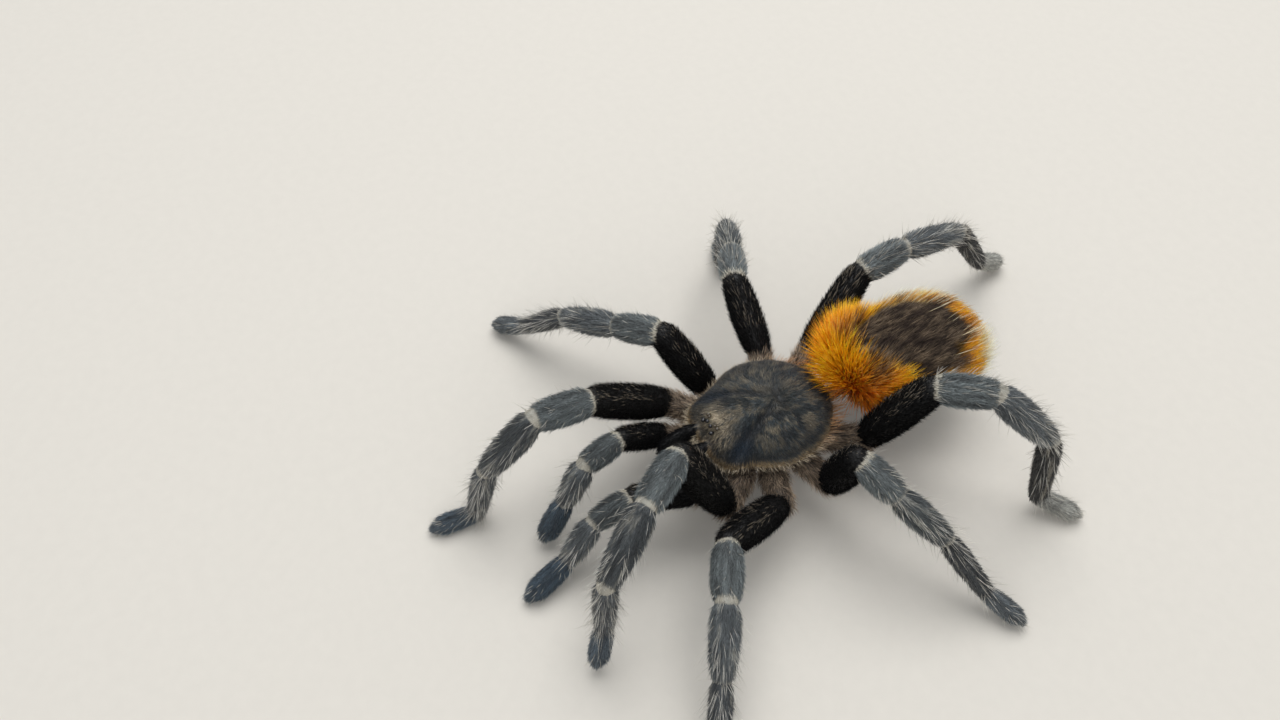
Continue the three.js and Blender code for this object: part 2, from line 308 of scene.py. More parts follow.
def loft(centres: Array, across: Array, above: Array, half_widths: Array, half_heights: Array,
         sides: int = 28) -> Form:
    """A closed form through elliptical rings.

    Args:
        centres: The middle of each ring.
        across: The way of a ring's width, for all rings or for each.
        above: The way of a ring's height, for all rings or for each.
        half_widths: Half width of each ring.
        half_heights: Half height of each ring.
        sides: Points round a ring.

    Returns:
        The points and the triangles.
    """
    turn = np.arange(sides) * 2 * np.pi / sides
    across = np.broadcast_to(across, centres.shape)
    above = np.broadcast_to(above, centres.shape)
    wide = (half_widths[:, None] * np.cos(turn))[..., None] * across[:, None]
    high = (half_heights[:, None] * np.sin(turn))[..., None] * above[:, None]
    rings = (centres[:, None] + wide + high).reshape(-1, 3)
    return np.concatenate([rings, centres[:1], centres[-1:]]), grid_faces(len(centres), sides)


# ---- finishes


def add_node(tree: bpy.types.NodeTree, kind: str, values: dict | None = None,
             links: dict | None = None, **settings: object) -> bpy.types.Node:
    """Adds one node.

    Args:
        tree: The tree that the node joins.
        kind: The node's type name.
        values: A value for each named or numbered input that has one.
        links: For each named or numbered input, the output that feeds it.
        **settings: The node's own properties.

    Returns:
        The new node.
    """
    node = tree.nodes.new(kind)
    for name, value in settings.items():
        setattr(node, name, value)
    for socket, value in (values or {}).items():
        node.inputs[socket].default_value = value
    for socket, output in (links or {}).items():
        tree.links.new(output, node.inputs[socket])
    return node


def per_metre(size_mm: float) -> float:
    """The scale of a pattern in object coordinates whose features have this size."""
    return 1 / (size_mm * MM)


def new_material(name: str) -> bpy.types.Material:
    """Makes a material whose node tree is still empty.

    Args:
        name: What it stands for, and how its surface is.

    Returns:
        The material.
    """
    material = bpy.data.materials.new(name)
    material.use_nodes = True
    material.node_tree.nodes.clear()
    return material


@dataclass(frozen=True)
class Finish:
    """Chitin, in any finish: noise through it moves its roughness, and its shade or its colour."""

    name: str
    roughness: float  # low where hair is silky, high where it is velvet
    stray: tuple[float, float] = (-0.08, 0.08)  # of the roughness, where the noise is least and most
    shade: tuple[float, float] = (0.78, 1.22)  # brightness of the markings there
    between: tuple[float, float] = (0.25, 0.75)  # the least and the most noise that the shade heeds
    colours: tuple[str, str] | None = None  # it drifts between them, in place of the markings
    grain: float = 0.35  # of the noise
    detail: float = 2.0
    ior: float = 1.55
    specular: float = 0.5  # lower where the hair is too fine to gleam
    sheen: float = 0.0  # the pale bloom of a nap seen edge on
    coat: float = 0.0  # a clear outer layer, as over an eye
    pit: float = 0.0  # between the hair sockets that pit a shell
    pit_depth: float = 0.04

    def make(self) -> bpy.types.Material:
        """Makes the material.

        Returns:
            The material.
        """
        material = new_material(self.name)
        tree = material.node_tree
        place = add_node(tree, "ShaderNodeTexCoord").outputs["Object"]
        noise = add_node(tree, "ShaderNodeTexNoise", {"Scale": per_metre(self.grain), "Detail": self.detail},
                         {"Vector": place}).outputs["Fac"]
        ends = {"To Min": self.roughness + self.stray[0], "To Max": self.roughness + self.stray[1]}
        rough = add_node(tree, "ShaderNodeMapRange", ends, {"Value": noise})
        links = {"Base Color": self.tint(tree, noise), "Roughness": rough.outputs["Result"]}
        if self.pit:
            pits = add_node(tree, "ShaderNodeTexVoronoi", {"Scale": per_metre(self.pit)}, {"Vector": place})
            bump = add_node(tree, "ShaderNodeBump", {"Strength": 0.5, "Distance": self.pit_depth * MM},
                            {"Height": pits.outputs["Distance"]})
            links["Normal"] = bump.outputs["Normal"]
        surface = add_node(tree, "ShaderNodeBsdfPrincipled",
                           {"IOR": self.ior, "Specular IOR Level": self.specular,
                            "Sheen Weight": self.sheen, "Sheen Roughness": 0.5,
                            "Coat Weight": self.coat, "Coat Roughness": 0.03}, links)
        add_node(tree, "ShaderNodeOutputMaterial", None, {"Surface": surface.outputs["BSDF"]})
        return material

    def tint(self, tree: bpy.types.NodeTree, noise: bpy.types.NodeSocket) -> bpy.types.NodeSocket:
        """Works out the colour in the material's nodes.

        Args:
            tree: The material's nodes.
            noise: The noise that moves the colour.

        Returns:
            The colour.
        """
        if self.colours:
            first, second = (linear(colour) for colour in self.colours)
            ends = {"A": (*first, 1.0), "B": (*second, 1.0)}
            mixed = add_node(tree, "ShaderNodeMix", ends, {"Factor": noise}, data_type="RGBA")
            return mixed.outputs["Result"]
        colour = add_node(tree, "ShaderNodeVertexColor", layer_name=COLOUR_LAYER).outputs["Color"]
        names = ("From Min", "From Max", "To Min", "To Max")
        shade = add_node(tree, "ShaderNodeMapRange", dict(zip(names, self.between + self.shade)),
                         {"Value": noise}).outputs["Result"]
        return add_node(tree, "ShaderNodeVectorMath", None, {0: colour, "Scale": shade},
                        operation="SCALE").outputs["Vector"]


@dataclass(frozen=True)
class CardFinish:
    """Matt card: pressed pulp, with a faint grain and no gloss."""

    name: str = "matt_card"
    colour: str = "#d9d4cb"
    pulp: float = 1.5  # of the grain
    stray: float = 0.03  # of the colour, either way
    roughness: float = 0.85

    def make(self) -> bpy.types.Material:
        """Makes the material.

        Returns:
            The material.
        """
        material = new_material(self.name)
        tree = material.node_tree
        place = add_node(tree, "ShaderNodeTexCoord").outputs["Object"]
        pulp = add_node(tree, "ShaderNodeTexNoise", {"Scale": per_metre(self.pulp), "Detail": 4.0},
                        {"Vector": place})
        base = linear(self.colour)
        ends = {"A": (*base * (1 - self.stray), 1.0), "B": (*base * (1 + self.stray), 1.0)}
        tint = add_node(tree, "ShaderNodeMix", ends, {"Factor": pulp.outputs["Fac"]}, data_type="RGBA")
        surface = add_node(tree, "ShaderNodeBsdfPrincipled", {"Roughness": self.roughness},
                           {"Base Color": tint.outputs["Result"]})
        add_node(tree, "ShaderNodeOutputMaterial", None, {"Surface": surface.outputs["BSDF"]})
        return material


# Tanned chitin: a hard shell, finely pitted, so light breaks up softly over it.
CUTICLE = Finish("tanned_chitin_cuticle", roughness=0.62, stray=(-0.1, 0.1), shade=(0.72, 1.25),
                 between=(0.0, 1.0), grain=1.1, detail=3.0, ior=1.54, pit=0.14)
# Chitin hair is a solid drawn-out bristle, whose smooth sides catch a soft light along them.
# The down of the femora is so fine and dark that almost no light leaves it.
VELVET = Finish("chitin_hair_velvet", roughness=0.78, specular=0.16)
# Dusty down with a blue-grey bloom, as on the shanks and the carapace.
DOWN = Finish("chitin_hair_dusty_down", roughness=0.58, sheen=0.1, specular=0.4)
# Long carotenoid-coloured hair of the abdomen, silky enough to glow where it lies together.
SILK = Finish("chitin_hair_long_silky", roughness=0.5, specular=0.3, shade=(0.8, 1.2))
# Single stiff bristles, pale and slightly glassy.
BRISTLE = Finish("chitin_bristle_pale", roughness=0.38, shade=(0.9, 1.1))
# Hard polished parts are streaked by growth, and get duller in the streaks.
GLOSS = {"stray": (0.0, 0.12), "grain": 0.3, "ior": 1.56}
# Fangs and claws are the hardest chitin there is, polished by use.
HORN = Finish("polished_black_chitin", roughness=0.16, colours=("#0d0706", "#2a130c"), **GLOSS)
# The main eyes: a clear lens over black pigment, so they hold one bright point of light.
DARK_LENS = Finish("clear_lens_dark", roughness=0.1, colours=("#050507", "#0c0c12"), coat=0.3, **GLOSS)
# The side eyes have a pearly layer behind the lens, so they look like amber milk.
PEARL_LENS = Finish("clear_lens_pearly", roughness=0.14, colours=("#2b251c", "#574b37"), coat=0.2,
                    **GLOSS)


# ---- surfaces of the body


@dataclass
class Survey:
    """Where points of the surface are on the animal."""

    points: Array
    part: Array  # number of the Part
    strand: Array  # number of the limb, jaw or spinneret, or that of the body form
    along: Array  # from the start of the segment
    remaining: Array  # to the end of the segment
    whole: Array  # share of the strand's whole length
    around: Array  # angle from the top of the segment, to its own side
    lie: Array  # the way that the coat runs

    def on(self, *parts: Part) -> Array:
        """A mask of the points on any of these parts."""
        return np.isin(self.part, [part.value for part in parts])


@dataclass(frozen=True)
class SegmentForm:
    """The shape of one segment of a limb."""

    coat: float  # depth of the coat
    neck: float  # half width at the first joint, as a share of the girth
    swell: tuple[tuple[float, float], ...]  # shares of the length, and of the girth there


SEGMENTS: dict[Part, SegmentForm] = {
    Part.HIP: SegmentForm(0.45, 0.81, ((0.3, 1.0), (0.6, 1.02), (0.72, 0.9), (0.84, 0.97))),
    Part.FEMUR: SegmentForm(0.46, 0.76, ((0.2, 0.94), (0.45, 1.02), (0.76, 0.98))),
    Part.PATELLA: SegmentForm(0.5, 0.94, ((0.36, 1.02), (0.7, 1.0))),
    Part.TIBIA: SegmentForm(0.52, 0.92, ((0.25, 1.03), (0.7, 0.96))),
    Part.METATARSUS: SegmentForm(0.42, 0.96, ((0.24, 1.04), (0.68, 0.96))),
    Part.TARSUS: SegmentForm(0.4, 0.92, ((0.28, 0.98), (0.68, 1.0), (0.9, 0.94))),
}
# Half widths with the coat on.
LEG_GIRTHS = {Part.HIP: 1.6, Part.FEMUR: 2.05, Part.PATELLA: 1.92, Part.TIBIA: 1.8,
              Part.METATARSUS: 1.42, Part.TARSUS: 1.34}
PALP_GIRTHS = {Part.HIP: 1.35, Part.FEMUR: 1.75, Part.PATELLA: 1.75, Part.TIBIA: 1.72, Part.TARSUS: 1.6}
TIP_SHARE = 0.76  # half width at the end of the flesh of a foot, as a share of its girth
TOE_HAIR = 1.05  # the foot's coat goes on past the end of its flesh
LIMB_DEEPER = 1.08  # a limb is this much deeper than it is wide
JOINT_NIP = 0.09  # the skin draws in by this share at a joint
JOINT_REACH = 0.5  # within this distance of it


@dataclass(frozen=True)
class Bone:
    """One straight length of a limb, a jaw, the waist or a spinneret."""

    part: Part
    strand: int
    start: Array
    along: Array
    across: Array
    length: float
    before: float  # length of the strand that comes before
    whole: float  # length of the whole strand
    stations: tuple[float, ...]  # shares of the length
    widths: tuple[float, ...]  # half width of the skin there
    deeper: float = LIMB_DEEPER

    @property
    def above(self) -> Array:
        """The way up from the bone, square to it."""
        return unit(np.cross(self.across, self.along))

    def half_width(self, run: Array) -> Array:
        """Half width of the skin at distances along the bone."""
        nip = hump(run, JOINT_REACH) + hump(self.length - run, JOINT_REACH)
        return curve_through(self.stations, self.widths, run / self.length) * (1 - JOINT_NIP * nip)

    def form(self) -> Form:
        """The bone's flesh, closed with a ball at each joint.

        Returns:
            The points and the triangles.
        """
        steps = np.linspace(0, self.length, max(6, round(self.length / 0.4)))
        widths = self.half_width(steps)
        ball = np.radians(np.arange(12, 90, 13))
        starts, ends = -widths[0] * np.cos(ball), widths[-1] * np.sin(ball)
        run = np.concatenate([starts, steps, self.length + ends])
        half = np.concatenate([widths[0] * np.sin(ball), widths, widths[-1] * np.cos(ball)])
        centres = self.start + run[:, None] * self.along
        return loft(centres, self.across, self.above, half, half * self.deeper)


@dataclass(frozen=True)
class Stance:
    """How one limb is held, in degrees.

    A heading is 0 straight out to the side and -90 straight ahead, and a lift is above level.
    """

    hip: tuple[float, float]
    femur: tuple[float, float]
    shank: tuple[float, ...]  # heading, lift of the patella, lift of the tibia
    foot: tuple[float, float]  # heading, lift of the tarsus


@dataclass(frozen=True)
class Limb:
    """A leg or a palp: a chain of segments from its root under the carapace to the floor."""

    name: str
    side: Side
    lengths: dict[Part, float]
    root: tuple[float, float]
    stance: Stance
    girths: dict[Part, float]
    stout: float = 1.0
    sole: float = 0.8  # height of the middle of the foot's tip
    tuck: float = 1.3  # the root reaches this far back into the body

    def direction(self, heading: float, lift: float) -> Array:
        """A unit vector for a heading and a lift, on the limb's own side.

        Args:
            heading: Degrees back from straight out.
            lift: Degrees above level.

        Returns:
            The vector.
        """
        turn, rise = math.radians(heading), math.radians(lift)
        out = self.side.value * math.cos(turn) * math.cos(rise)
        return np.array([out, math.sin(turn) * math.cos(rise), math.sin(rise)])

    def lift_to_floor(self, height: float, length: float) -> float:
        """The lift that takes the segment before the tarsus down to where the tarsus meets the floor.

        Args:
            height: Height of the segment's first joint.
            length: Length of the segment.

        Returns:
            The lift in degrees.
        """
        toe = self.lengths[Part.TARSUS] * math.sin(math.radians(self.stance.foot[1]))
        share = (self.sole - height - toe) / length
        return math.degrees(math.asin(min(max(share, -0.995), 0.995)))

    def bones(self, prosoma: "Prosoma", strand: int) -> list[Bone]:
        """The limb's bones.

        Args:
            prosoma: The body that the limb grows from.
            strand: The limb's number.

        Returns:
            One bone for each segment, from the root out.
        """
        at = prosoma.to_body(np.array([self.side.value * self.root[0], self.root[1], -prosoma.coxa_drop]))
        parts = list(self.lengths)
        shank_heading, patella_lift, tibia_lift = (*self.stance.shank, 0.0)[:3]
        foot_heading, toe_lift = self.stance.foot
        whole = sum(self.lengths.values())
        bones: list[Bone] = []
        before = 0.0
        for index, part in enumerate(parts):
            length = self.lengths[part]
            if part is Part.HIP:
                heading, lift = self.stance.hip
            elif part is Part.FEMUR:
                heading, lift = self.stance.femur
            elif part is Part.TARSUS:
                heading, lift = foot_heading, toe_lift
            elif parts[index + 1] is Part.TARSUS:
                heading, lift = foot_heading, self.lift_to_floor(at[2], length)
            else:
                heading, lift = shank_heading, patella_lift if part is Part.PATELLA else tibia_lift
            along = self.direction(heading, lift)
            across = unit(np.cross(self.direction(heading, 0), (0, 0, 1)))
            start = at - along * self.tuck if part is Part.HIP else at
            run = length + {Part.HIP: self.tuck, Part.TARSUS: -TOE_HAIR}.get(part, 0.0)
            stations, widths = self.profile(part, parts[index + 1] if index + 1 < len(parts) else None)
            bones.append(Bone(part, strand, start, along, across, run, before, whole, stations, widths))
            at = at + along * length
            before += length
        return bones

    def profile(self, part: Part, following: Part | None) -> tuple[tuple[float, ...], tuple[float, ...]]:
        """Half widths of the skin of one segment.

        Args:
            part: The segment.
            following: The segment after it, or None at the foot's tip.

        Returns:
            Shares of the segment's length, and the half width at each.
        """
        form, girth = SEGMENTS[part], self.girths[part]
        last = self.girths[following] * SEGMENTS[following].neck if following else TIP_SHARE * girth
        stations = (0.0, *(share for share, _ in form.swell), 1.0)
        halves = (girth * form.neck, *(girth * scale for _, scale in form.swell), last)
        return stations, tuple(half * self.stout - form.coat for half in halves)


@dataclass(frozen=True)
class Prosoma:
    """The front of the body: the carapace with its raised head, what hangs under it, and the jaws."""

    height: float = 10.2  # of the middle of the rim
    pitch: float = 2.5  # degrees, rear end higher
    length: float = 17.0
    width: float = 15.0
    dome: float = 2.8
    rim: float = 0.8
    keel: float = 1.1
    coat: float = 0.28
    head_rise: float = 1.1
    head_at: float = -4.6
    fovea_at: float = 2.1
    fovea_depth: float = 0.8
    fovea_size: tuple[float, float] = (1.4, 0.6)
    hollow_at: tuple[float, float] = (3.75, -4.8)  # beside the head, on both sides
    hollow_size: tuple[float, float] = (1.15, 1.9)
    hollow_depth: float = 0.45
    mound_at: float = -6.6
    mound_rise: float = 0.75
    mound_size: tuple[float, float] = (1.15, 0.75)
    coxa_drop: float = 3.2
    # Furrows that run from the fovea: bearing back from straight sideways, depth and half width.
    furrows: tuple[tuple[float, float, float], ...] = (
        (-60, 0.5, 0.5), (-24, 0.15, 0.4), (8, 0.18, 0.4),
        (40, 0.18, 0.4), (70, 0.14, 0.36),
    )

    @property
    def tilt(self) -> tuple[float, float]:
        """Cosine and sine of the pitch."""
        return math.cos(math.radians(self.pitch)), math.sin(math.radians(self.pitch))

    def to_body(self, points: Array) -> Array:
        """Takes points from the tilted carapace's frame to the animal's.

        Args:
            points: Rows of x, y and z.

        Returns:
            Rows of x, y and z.
        """
        cos, sin = self.tilt
        x, y, z = np.moveaxis(points, -1, 0)
        return np.stack([x, y * cos - z * sin, y * sin + z * cos + self.height], -1)

    def from_body(self, points: Array) -> Array:
        """Takes points from the animal's frame to the tilted carapace's.

        Args:
            points: Rows of x, y and z.

        Returns:
            Rows of x, y and z.
        """
        cos, sin = self.tilt
        x, y, z = np.moveaxis(points, -1, 0)
        z = z - self.height
        return np.stack([x, y * cos + z * sin, z * cos - y * sin], -1)

    def rim_radius(self, x: Array, y: Array) -> Array:
        """How far the rim is from the middle, the way that a place lies.

        Args:
            x: How far to the left of the middle the place is.
            y: How far behind it.

        Returns:
            The distance.
        """
        turn = np.arctan2(np.abs(x), -y)
        oval = 1 / np.hypot(np.sin(turn) / (self.width / 2), np.cos(turn) / (self.length / 2))
        square_front = 0.07 * hump(turn - math.radians(28), math.radians(16))
        waist = 0.08 * hump(turn - math.radians(58), math.radians(20))
        return oval * (1 + square_front - waist)

    def furrow(self, x: Array, y: Array, reach: Array) -> Array:
        """Depth of the furrows that run out from the fovea, at a place on the carapace.

        Args:
            x: How far to the left of the middle the place is.
            y: How far behind it.
            reach: Its share of the way to the rim.

        Returns:
            The depth, the hollows beside the head included.
        """
        back = y - self.fovea_at
        distance = np.hypot(x, back)
        bearing = np.arctan2(back, np.abs(x))
        depth = np.zeros_like(distance)
        for degrees, deep, half_width in self.furrows:
            aside = distance * np.sin(bearing - math.radians(degrees))
            ahead = np.cos(bearing - math.radians(degrees)) > 0
            depth += deep * ahead * hump(aside, half_width)
        depth *= ramp(distance, 0.6, 2.2) * ramp(reach, 1.0, 0.86)
        return depth + self.hollow_depth * self.hollow(x, y)

    def hollow(self, x: Array, y: Array) -> Array:
        """How much of the hollow beside the head is at a place on the carapace, from 0 to 1."""
        across, ahead = np.abs(x) - self.hollow_at[0], y - self.hollow_at[1]
        return hump(across + 0.45 * ahead, self.hollow_size[0]) * hump(ahead, self.hollow_size[1])

    def top(self, x: Array, y: Array, reach: Array) -> Array:
        """Height of the carapace's upper face over the middle of its rim, with its coat.

        Args:
            x: How far to the left of the middle the place is.
            y: How far behind it.
            reach: Its share of the way to the rim.

        Returns:
            The height.
        """
        shell = self.rim / 2 + self.dome * np.sqrt(np.maximum(0, 1 - reach ** 2.4))
        head = self.head_rise * hump(x, 3.0) * hump(y - self.head_at, 3.5)
        pit = self.fovea_depth * hump(x, self.fovea_size[0]) * hump(y - self.fovea_at, self.fovea_size[1])
        mound = hump(x, self.mound_size[0]) * hump(y - self.mound_at, self.mound_size[1])
        inner = np.maximum(0, 1 - reach ** 4)
        return shell + inner * (head - pit) + self.mound_rise * mound

    def shell(self) -> Form:
        """The carapace as a closed form, from its middle above, over the rim, to its middle below.

        Returns:
            The points and the triangles.
        """
        sides, steps = 120, 40
        reach = np.sin(np.linspace(0.03, 1, steps) * np.pi / 2)
        turn = np.arange(sides) * 2 * np.pi / sides
        ray = np.stack([np.cos(turn), np.sin(turn)], -1)
        radius = self.rim_radius(ray[:, 0], ray[:, 1]) - self.coat
        flat = reach[:, None, None] * radius[None, :, None] * ray
        x, y = flat[..., 0], flat[..., 1]
        spread = np.broadcast_to(reach[:, None], x.shape)
        upper = self.top(x, y, spread) - self.coat - self.furrow(x, y, spread)
        lower = -self.rim / 2 - self.keel * (1 - spread ** 2) + self.coat / 2
        above = np.stack([x, y, upper], -1)
        below = np.stack([x, y, lower], -1)[::-1]
        rings = np.concatenate([above, below]).reshape(-1, 3)
        ends = np.array([[0, 0, upper[0].mean()], [0, 0, lower[0].mean()]])
        faces = grid_faces(2 * steps, sides)[:, ::-1]
        return self.to_body(np.concatenate([rings, ends])), faces

    def pads(self) -> list[Form]:
        """The sternum and the soft flanks that join the carapace to the coxae, as closed forms."""
        plans = (((0, -0.2, -3.2), (3.0, 5.2, 1.4)), ((0, -0.4, -2.0), (4.9, 6.7, 1.9)))
        return [ellipsoid(np.array(middle), np.array(halves), self.to_body) for middle, halves in plans]

    def slack(self, points: Array) -> tuple[Array, Array, Array]:
        """How far points are outside the carapace.

        Args:
            points: Points of the animal's frame.

        Returns:
            The distance, which is negative inside, the local points, and their reach from the middle.
        """
        local = self.from_body(points)
        x, y, z = local.T
        radius = self.rim_radius(x, y)
        reach = np.hypot(x, y) / radius
        inner = np.minimum(reach, 1)
        over = z - self.top(x, y, inner) + self.coat
        under = -self.rim / 2 - self.keel * (1 - inner ** 2) - z
        return np.maximum.reduce([over * 0.85, under, (reach - 1) * radius]), local, reach


@dataclass(frozen=True)
class Jaws:
    """The two stout chelicerae in front of the head, and the fangs folded under them."""

    aside: float = 1.37
    back: float = -7.4
    knee: float = -11.6
    front: float = -12.7
    droop: tuple[float, float, float] = (0.1, -0.35, -1.0)  # heights at back, knee and front
    half_width: float = 1.2
    deeper: float = 1.9
    coat: float = 0.34
    fang_aside: float = 1.3
    fang_from: float = -12.5
    fang_top: float = -2.1  # inside the jaw, where the fang is hinged
    fang_length: float = 3.4
    fang_drop: float = 2.9
    fang_radius: float = 0.42
    fang_tip: float = 0.09

    def bones(self, prosoma: Prosoma, side: Side, strand: int) -> list[Bone]:
        """The two bones of one jaw, which turns down towards its front.

        Args:
            prosoma: The body that it hangs on.
            side: The side of the body.
            strand: The strand's number.

        Returns:
            The bones.
        """
        ys = (self.back, self.knee, self.front)
        stops = [prosoma.to_body(np.array([side.value * self.aside, y, z])) for y, z in zip(ys, self.droop)]
        shapes = (((0.0, 0.35, 0.75, 1.0), (0.95, 1.0, 0.99, 0.92)), ((0.0, 0.6, 1.0), (0.92, 0.72, 0.42)))
        return straight_bones(stops, Part.JAW, strand, shapes, self.half_width, self.coat, self.deeper)

    def fang(self, prosoma: Prosoma, side: Side) -> Form:
        """One fang: a smooth thorn that curves down and back under its jaw.

        Args:
            prosoma: The body that the jaw hangs on.
            side: The side of the body.

        Returns:
            The points and the triangles.
        """
        turn = np.linspace(0, np.pi / 2, 18)
        y = self.fang_from + self.fang_length * (1 - np.cos(turn))
        z = self.fang_top - self.fang_drop * np.sin(turn)
        centres = np.stack([np.full_like(y, side.value * self.fang_aside), y, z], -1)
        along = np.stack([0 * y, self.fang_length * np.sin(turn), -self.fang_drop * np.cos(turn)], -1)
        above = unit(np.cross(unit(along), (1, 0, 0)))
        share = np.linspace(0, 1, len(turn))
        half = self.fang_tip + (self.fang_radius - self.fang_tip) * (1 - share ** 1.6)
        points, faces = loft(centres, np.array([1.0, 0, 0]), above, half, half, sides=20)
        return prosoma.to_body(points), faces


@dataclass(frozen=True)
class Abdomen:
    """The egg-shaped rear of the body, fuller behind, with the waist before it."""

    at: float = 19.1
    level: float = 10.2
    length: float = 21.8
    width: float = 14.7
    top: float = 6.8
    bottom: float = 6.6
    fuller: float = 0.18
    taper: float = 0.06
    front_lift: float = 3.4  # its front end is carried this much higher
    blunt: float = 0.41  # 0.5 gives the ends of an ellipsoid, and less makes them blunter
    coat: float = 1.5
    patch_at: tuple[float, float] = (0.2, 18.3)  # middle of the dark patch on the back
    patch_size: tuple[float, float] = (5.5, 7.5)  # its half width and half length
    # Where the pedicel begins, bends and ends: how far back, and how high.
    waist: tuple[tuple[float, float], ...] = ((5.4, 8.2), (9.6, 9.1), (12.6, 10.9))
    waist_radius: float = 0.8

    def fullness(self, share: Array) -> Array:
        """How much wider and higher than a sphere the egg is, at a share from -1 in front to 1 behind."""
        ends = np.maximum(1 - share * share, 1e-3) ** (self.blunt - 0.5)
        return ends * (1 + self.fuller * share - self.taper * share * share)

    def lift(self, share: Array) -> Array:
        """How much the egg's middle line is raised there."""
        return self.front_lift * ((1 - share) / 2) ** 2

    def halves(self) -> tuple[float, float, float, float]:
        """Half width, half length, and heights above and below, of the skin."""
        sizes = (self.width / 2, self.length / 2, self.top, self.bottom)
        return tuple(size - self.coat for size in sizes)

    def form(self) -> Form:
        """The abdomen's skin as a closed form.

        Returns:
            The points and the triangles.
        """
        wide, long, high, low = self.halves()
        turn = np.linspace(0.02, np.pi - 0.02, 64)
        share = -np.cos(turn)
        full = self.fullness(share) * np.sin(turn)
        spin = np.arange(72) * 2 * np.pi / 72
        x = full[:, None] * wide * np.cos(spin)
        z = full[:, None] * np.where(np.sin(spin) > 0, high, low) * np.sin(spin) + self.lift(share)[:, None]
        y = np.broadcast_to((share * long)[:, None], x.shape)
        rings = np.stack([x, y + self.at, z + self.level], -1).reshape(-1, 3)
        ends = [[0, self.at + end * long, self.level + self.lift(end)] for end in (-1, 1)]
        return np.concatenate([rings, np.array(ends)]), grid_faces(64, 72)[:, ::-1]

    def spot(self, points: Array) -> Array:
        """Finds points in the egg's own measure, where the skin is at distance one from the middle.

        Args:
            points: Points of the animal's frame.

        Returns:
            Rows of side, share and rise.
        """
        wide, long, high, low = self.halves()
        share = (points[:, 1] - self.at) / long
        full = self.fullness(np.clip(share, -1, 1))
        rise = points[:, 2] - self.level - self.lift(np.clip(share, -1, 1))
        half_height = np.where(rise > 0, high, low) * full
        return np.stack([points[:, 0] / (wide * full), share, rise / half_height], -1)

    def patch(self, points: Array, ragged: Array) -> Array:
        """How much of the dark patch on the back is at some points.

        Args:
            points: Points of the animal's frame.
            ragged: A number from 0 to 1 for each, which frays the patch's edge.

        Returns:
            A number from 0 to 1 for each point.
        """
        across = (points[:, 0] - self.patch_at[0]) / self.patch_size[0]
        ahead = (points[:, 1] - self.patch_at[1]) / self.patch_size[1]
        oval = np.hypot(across * (1 + 0.35 * ramp(ahead, 0.1, -0.9)), ahead)
        return ramp(oval + 0.42 * (ragged - 0.5), 1.12, 0.9) * (points[:, 2] > self.level)

    def waist_bones(self, strand: int) -> list[Bone]:
        """The pedicel, which rises into the abdomen's front.

        Args:
            strand: The strand's number.

        Returns:
            The bones.
        """
        stops = [np.array([0, y, z]) for y, z in self.waist]
        shape = ((0.0, 1.0), (1.0, 1.0))
        return straight_bones(stops, Part.UNDERSIDE, strand, (shape, shape), self.waist_radius, 0.0, 1.0)


@dataclass(frozen=True)
class Spinnerets:
    """One pair of spinnerets under the abdomen's end, the long pair unless its sizes say otherwise."""

    aside: float = 1.3
    start: float = 27.9
    level: float = 5.7
    length: float = 3.5
    rise: float = 0.5
    spread: float = 0.7
    radius: float = 0.75
    coat: float = 0.22

    def bones(self, side: Side, strand: int) -> list[Bone]:
        """One spinneret, in three joints that get thinner.

        Args:
            side: The side of the body.
            strand: The strand's number.

        Returns:
            The bones.
        """
        first = np.array([side.value * self.aside, self.start, self.level])
        run = np.array([side.value * self.spread, self.length, self.rise])
        stops = [first + run * share for share in (0, 0.45, 0.75, 1.0)]
        shapes = (((0.0, 0.5, 1.0), (0.95, 1.0, 0.9)), ((0.0, 0.5, 1.0), (0.88, 0.86, 0.74)),
                  ((0.0, 0.5, 1.0), (0.72, 0.66, 0.45)))
        return straight_bones(stops, Part.SPINNERET, strand, shapes, self.radius, self.coat, 1.0)


# The short pair sits between the roots of the long one.
SHORT_SPINNERETS = Spinnerets(aside=0.46, start=27.2, level=5.6, length=1.7, rise=-0.55, spread=0.12,
                              radius=0.42, coat=0.1)


def straight_bones(stops: Sequence[Array], part: Part, strand: int,
                   shapes: Sequence[tuple[tuple[float, ...], tuple[float, ...]]],
                   radius: float, coat: float, deeper: float) -> list[Bone]:
    """Bones from stop to stop.

    Args:
        stops: The joints, from the first to the last.
        part: What the bones are part of.
        strand: The number of their strand.
        shapes: For each bone, shares of its length and of the radius there.
        radius: Half width with the coat on.
        coat: Depth of the coat.
        deeper: Height over width.

    Returns:
        The bones.
    """
    lengths = [float(np.linalg.norm(b - a)) for a, b in zip(stops, stops[1:])]
    bones = []
    for index, (length, (stations, shares)) in enumerate(zip(lengths, shapes)):
        along = unit(stops[index + 1] - stops[index])
        across = unit(np.cross(along, (0, 0, 1)))
        widths = tuple(radius * share - coat for share in shares)
        bones.append(Bone(part, strand, stops[index], along, across, length, sum(lengths[:index]),
                          sum(lengths), stations, widths, deeper))
    return bones


def ellipsoid(middle: Array, halves: Array,
              move: Callable[[Array], Array] = lambda points: points) -> Form:
    """A closed ellipsoid.

    Args:
        middle: Its centre.
        halves: Its three half sizes.
        move: Takes its points to where they belong.

    Returns:
        The points and the triangles.
    """
    turn = np.linspace(0.05, np.pi - 0.05, 24)
    centres = middle + np.stack([0 * turn, 0 * turn, -np.cos(turn) * halves[2]], -1)
    points, faces = loft(centres, np.array([1.0, 0, 0]), np.array([0, 1.0, 0]),
                         np.sin(turn) * halves[0], np.sin(turn) * halves[1], sides=40)
    return move(points), faces


# ---- the whole animal


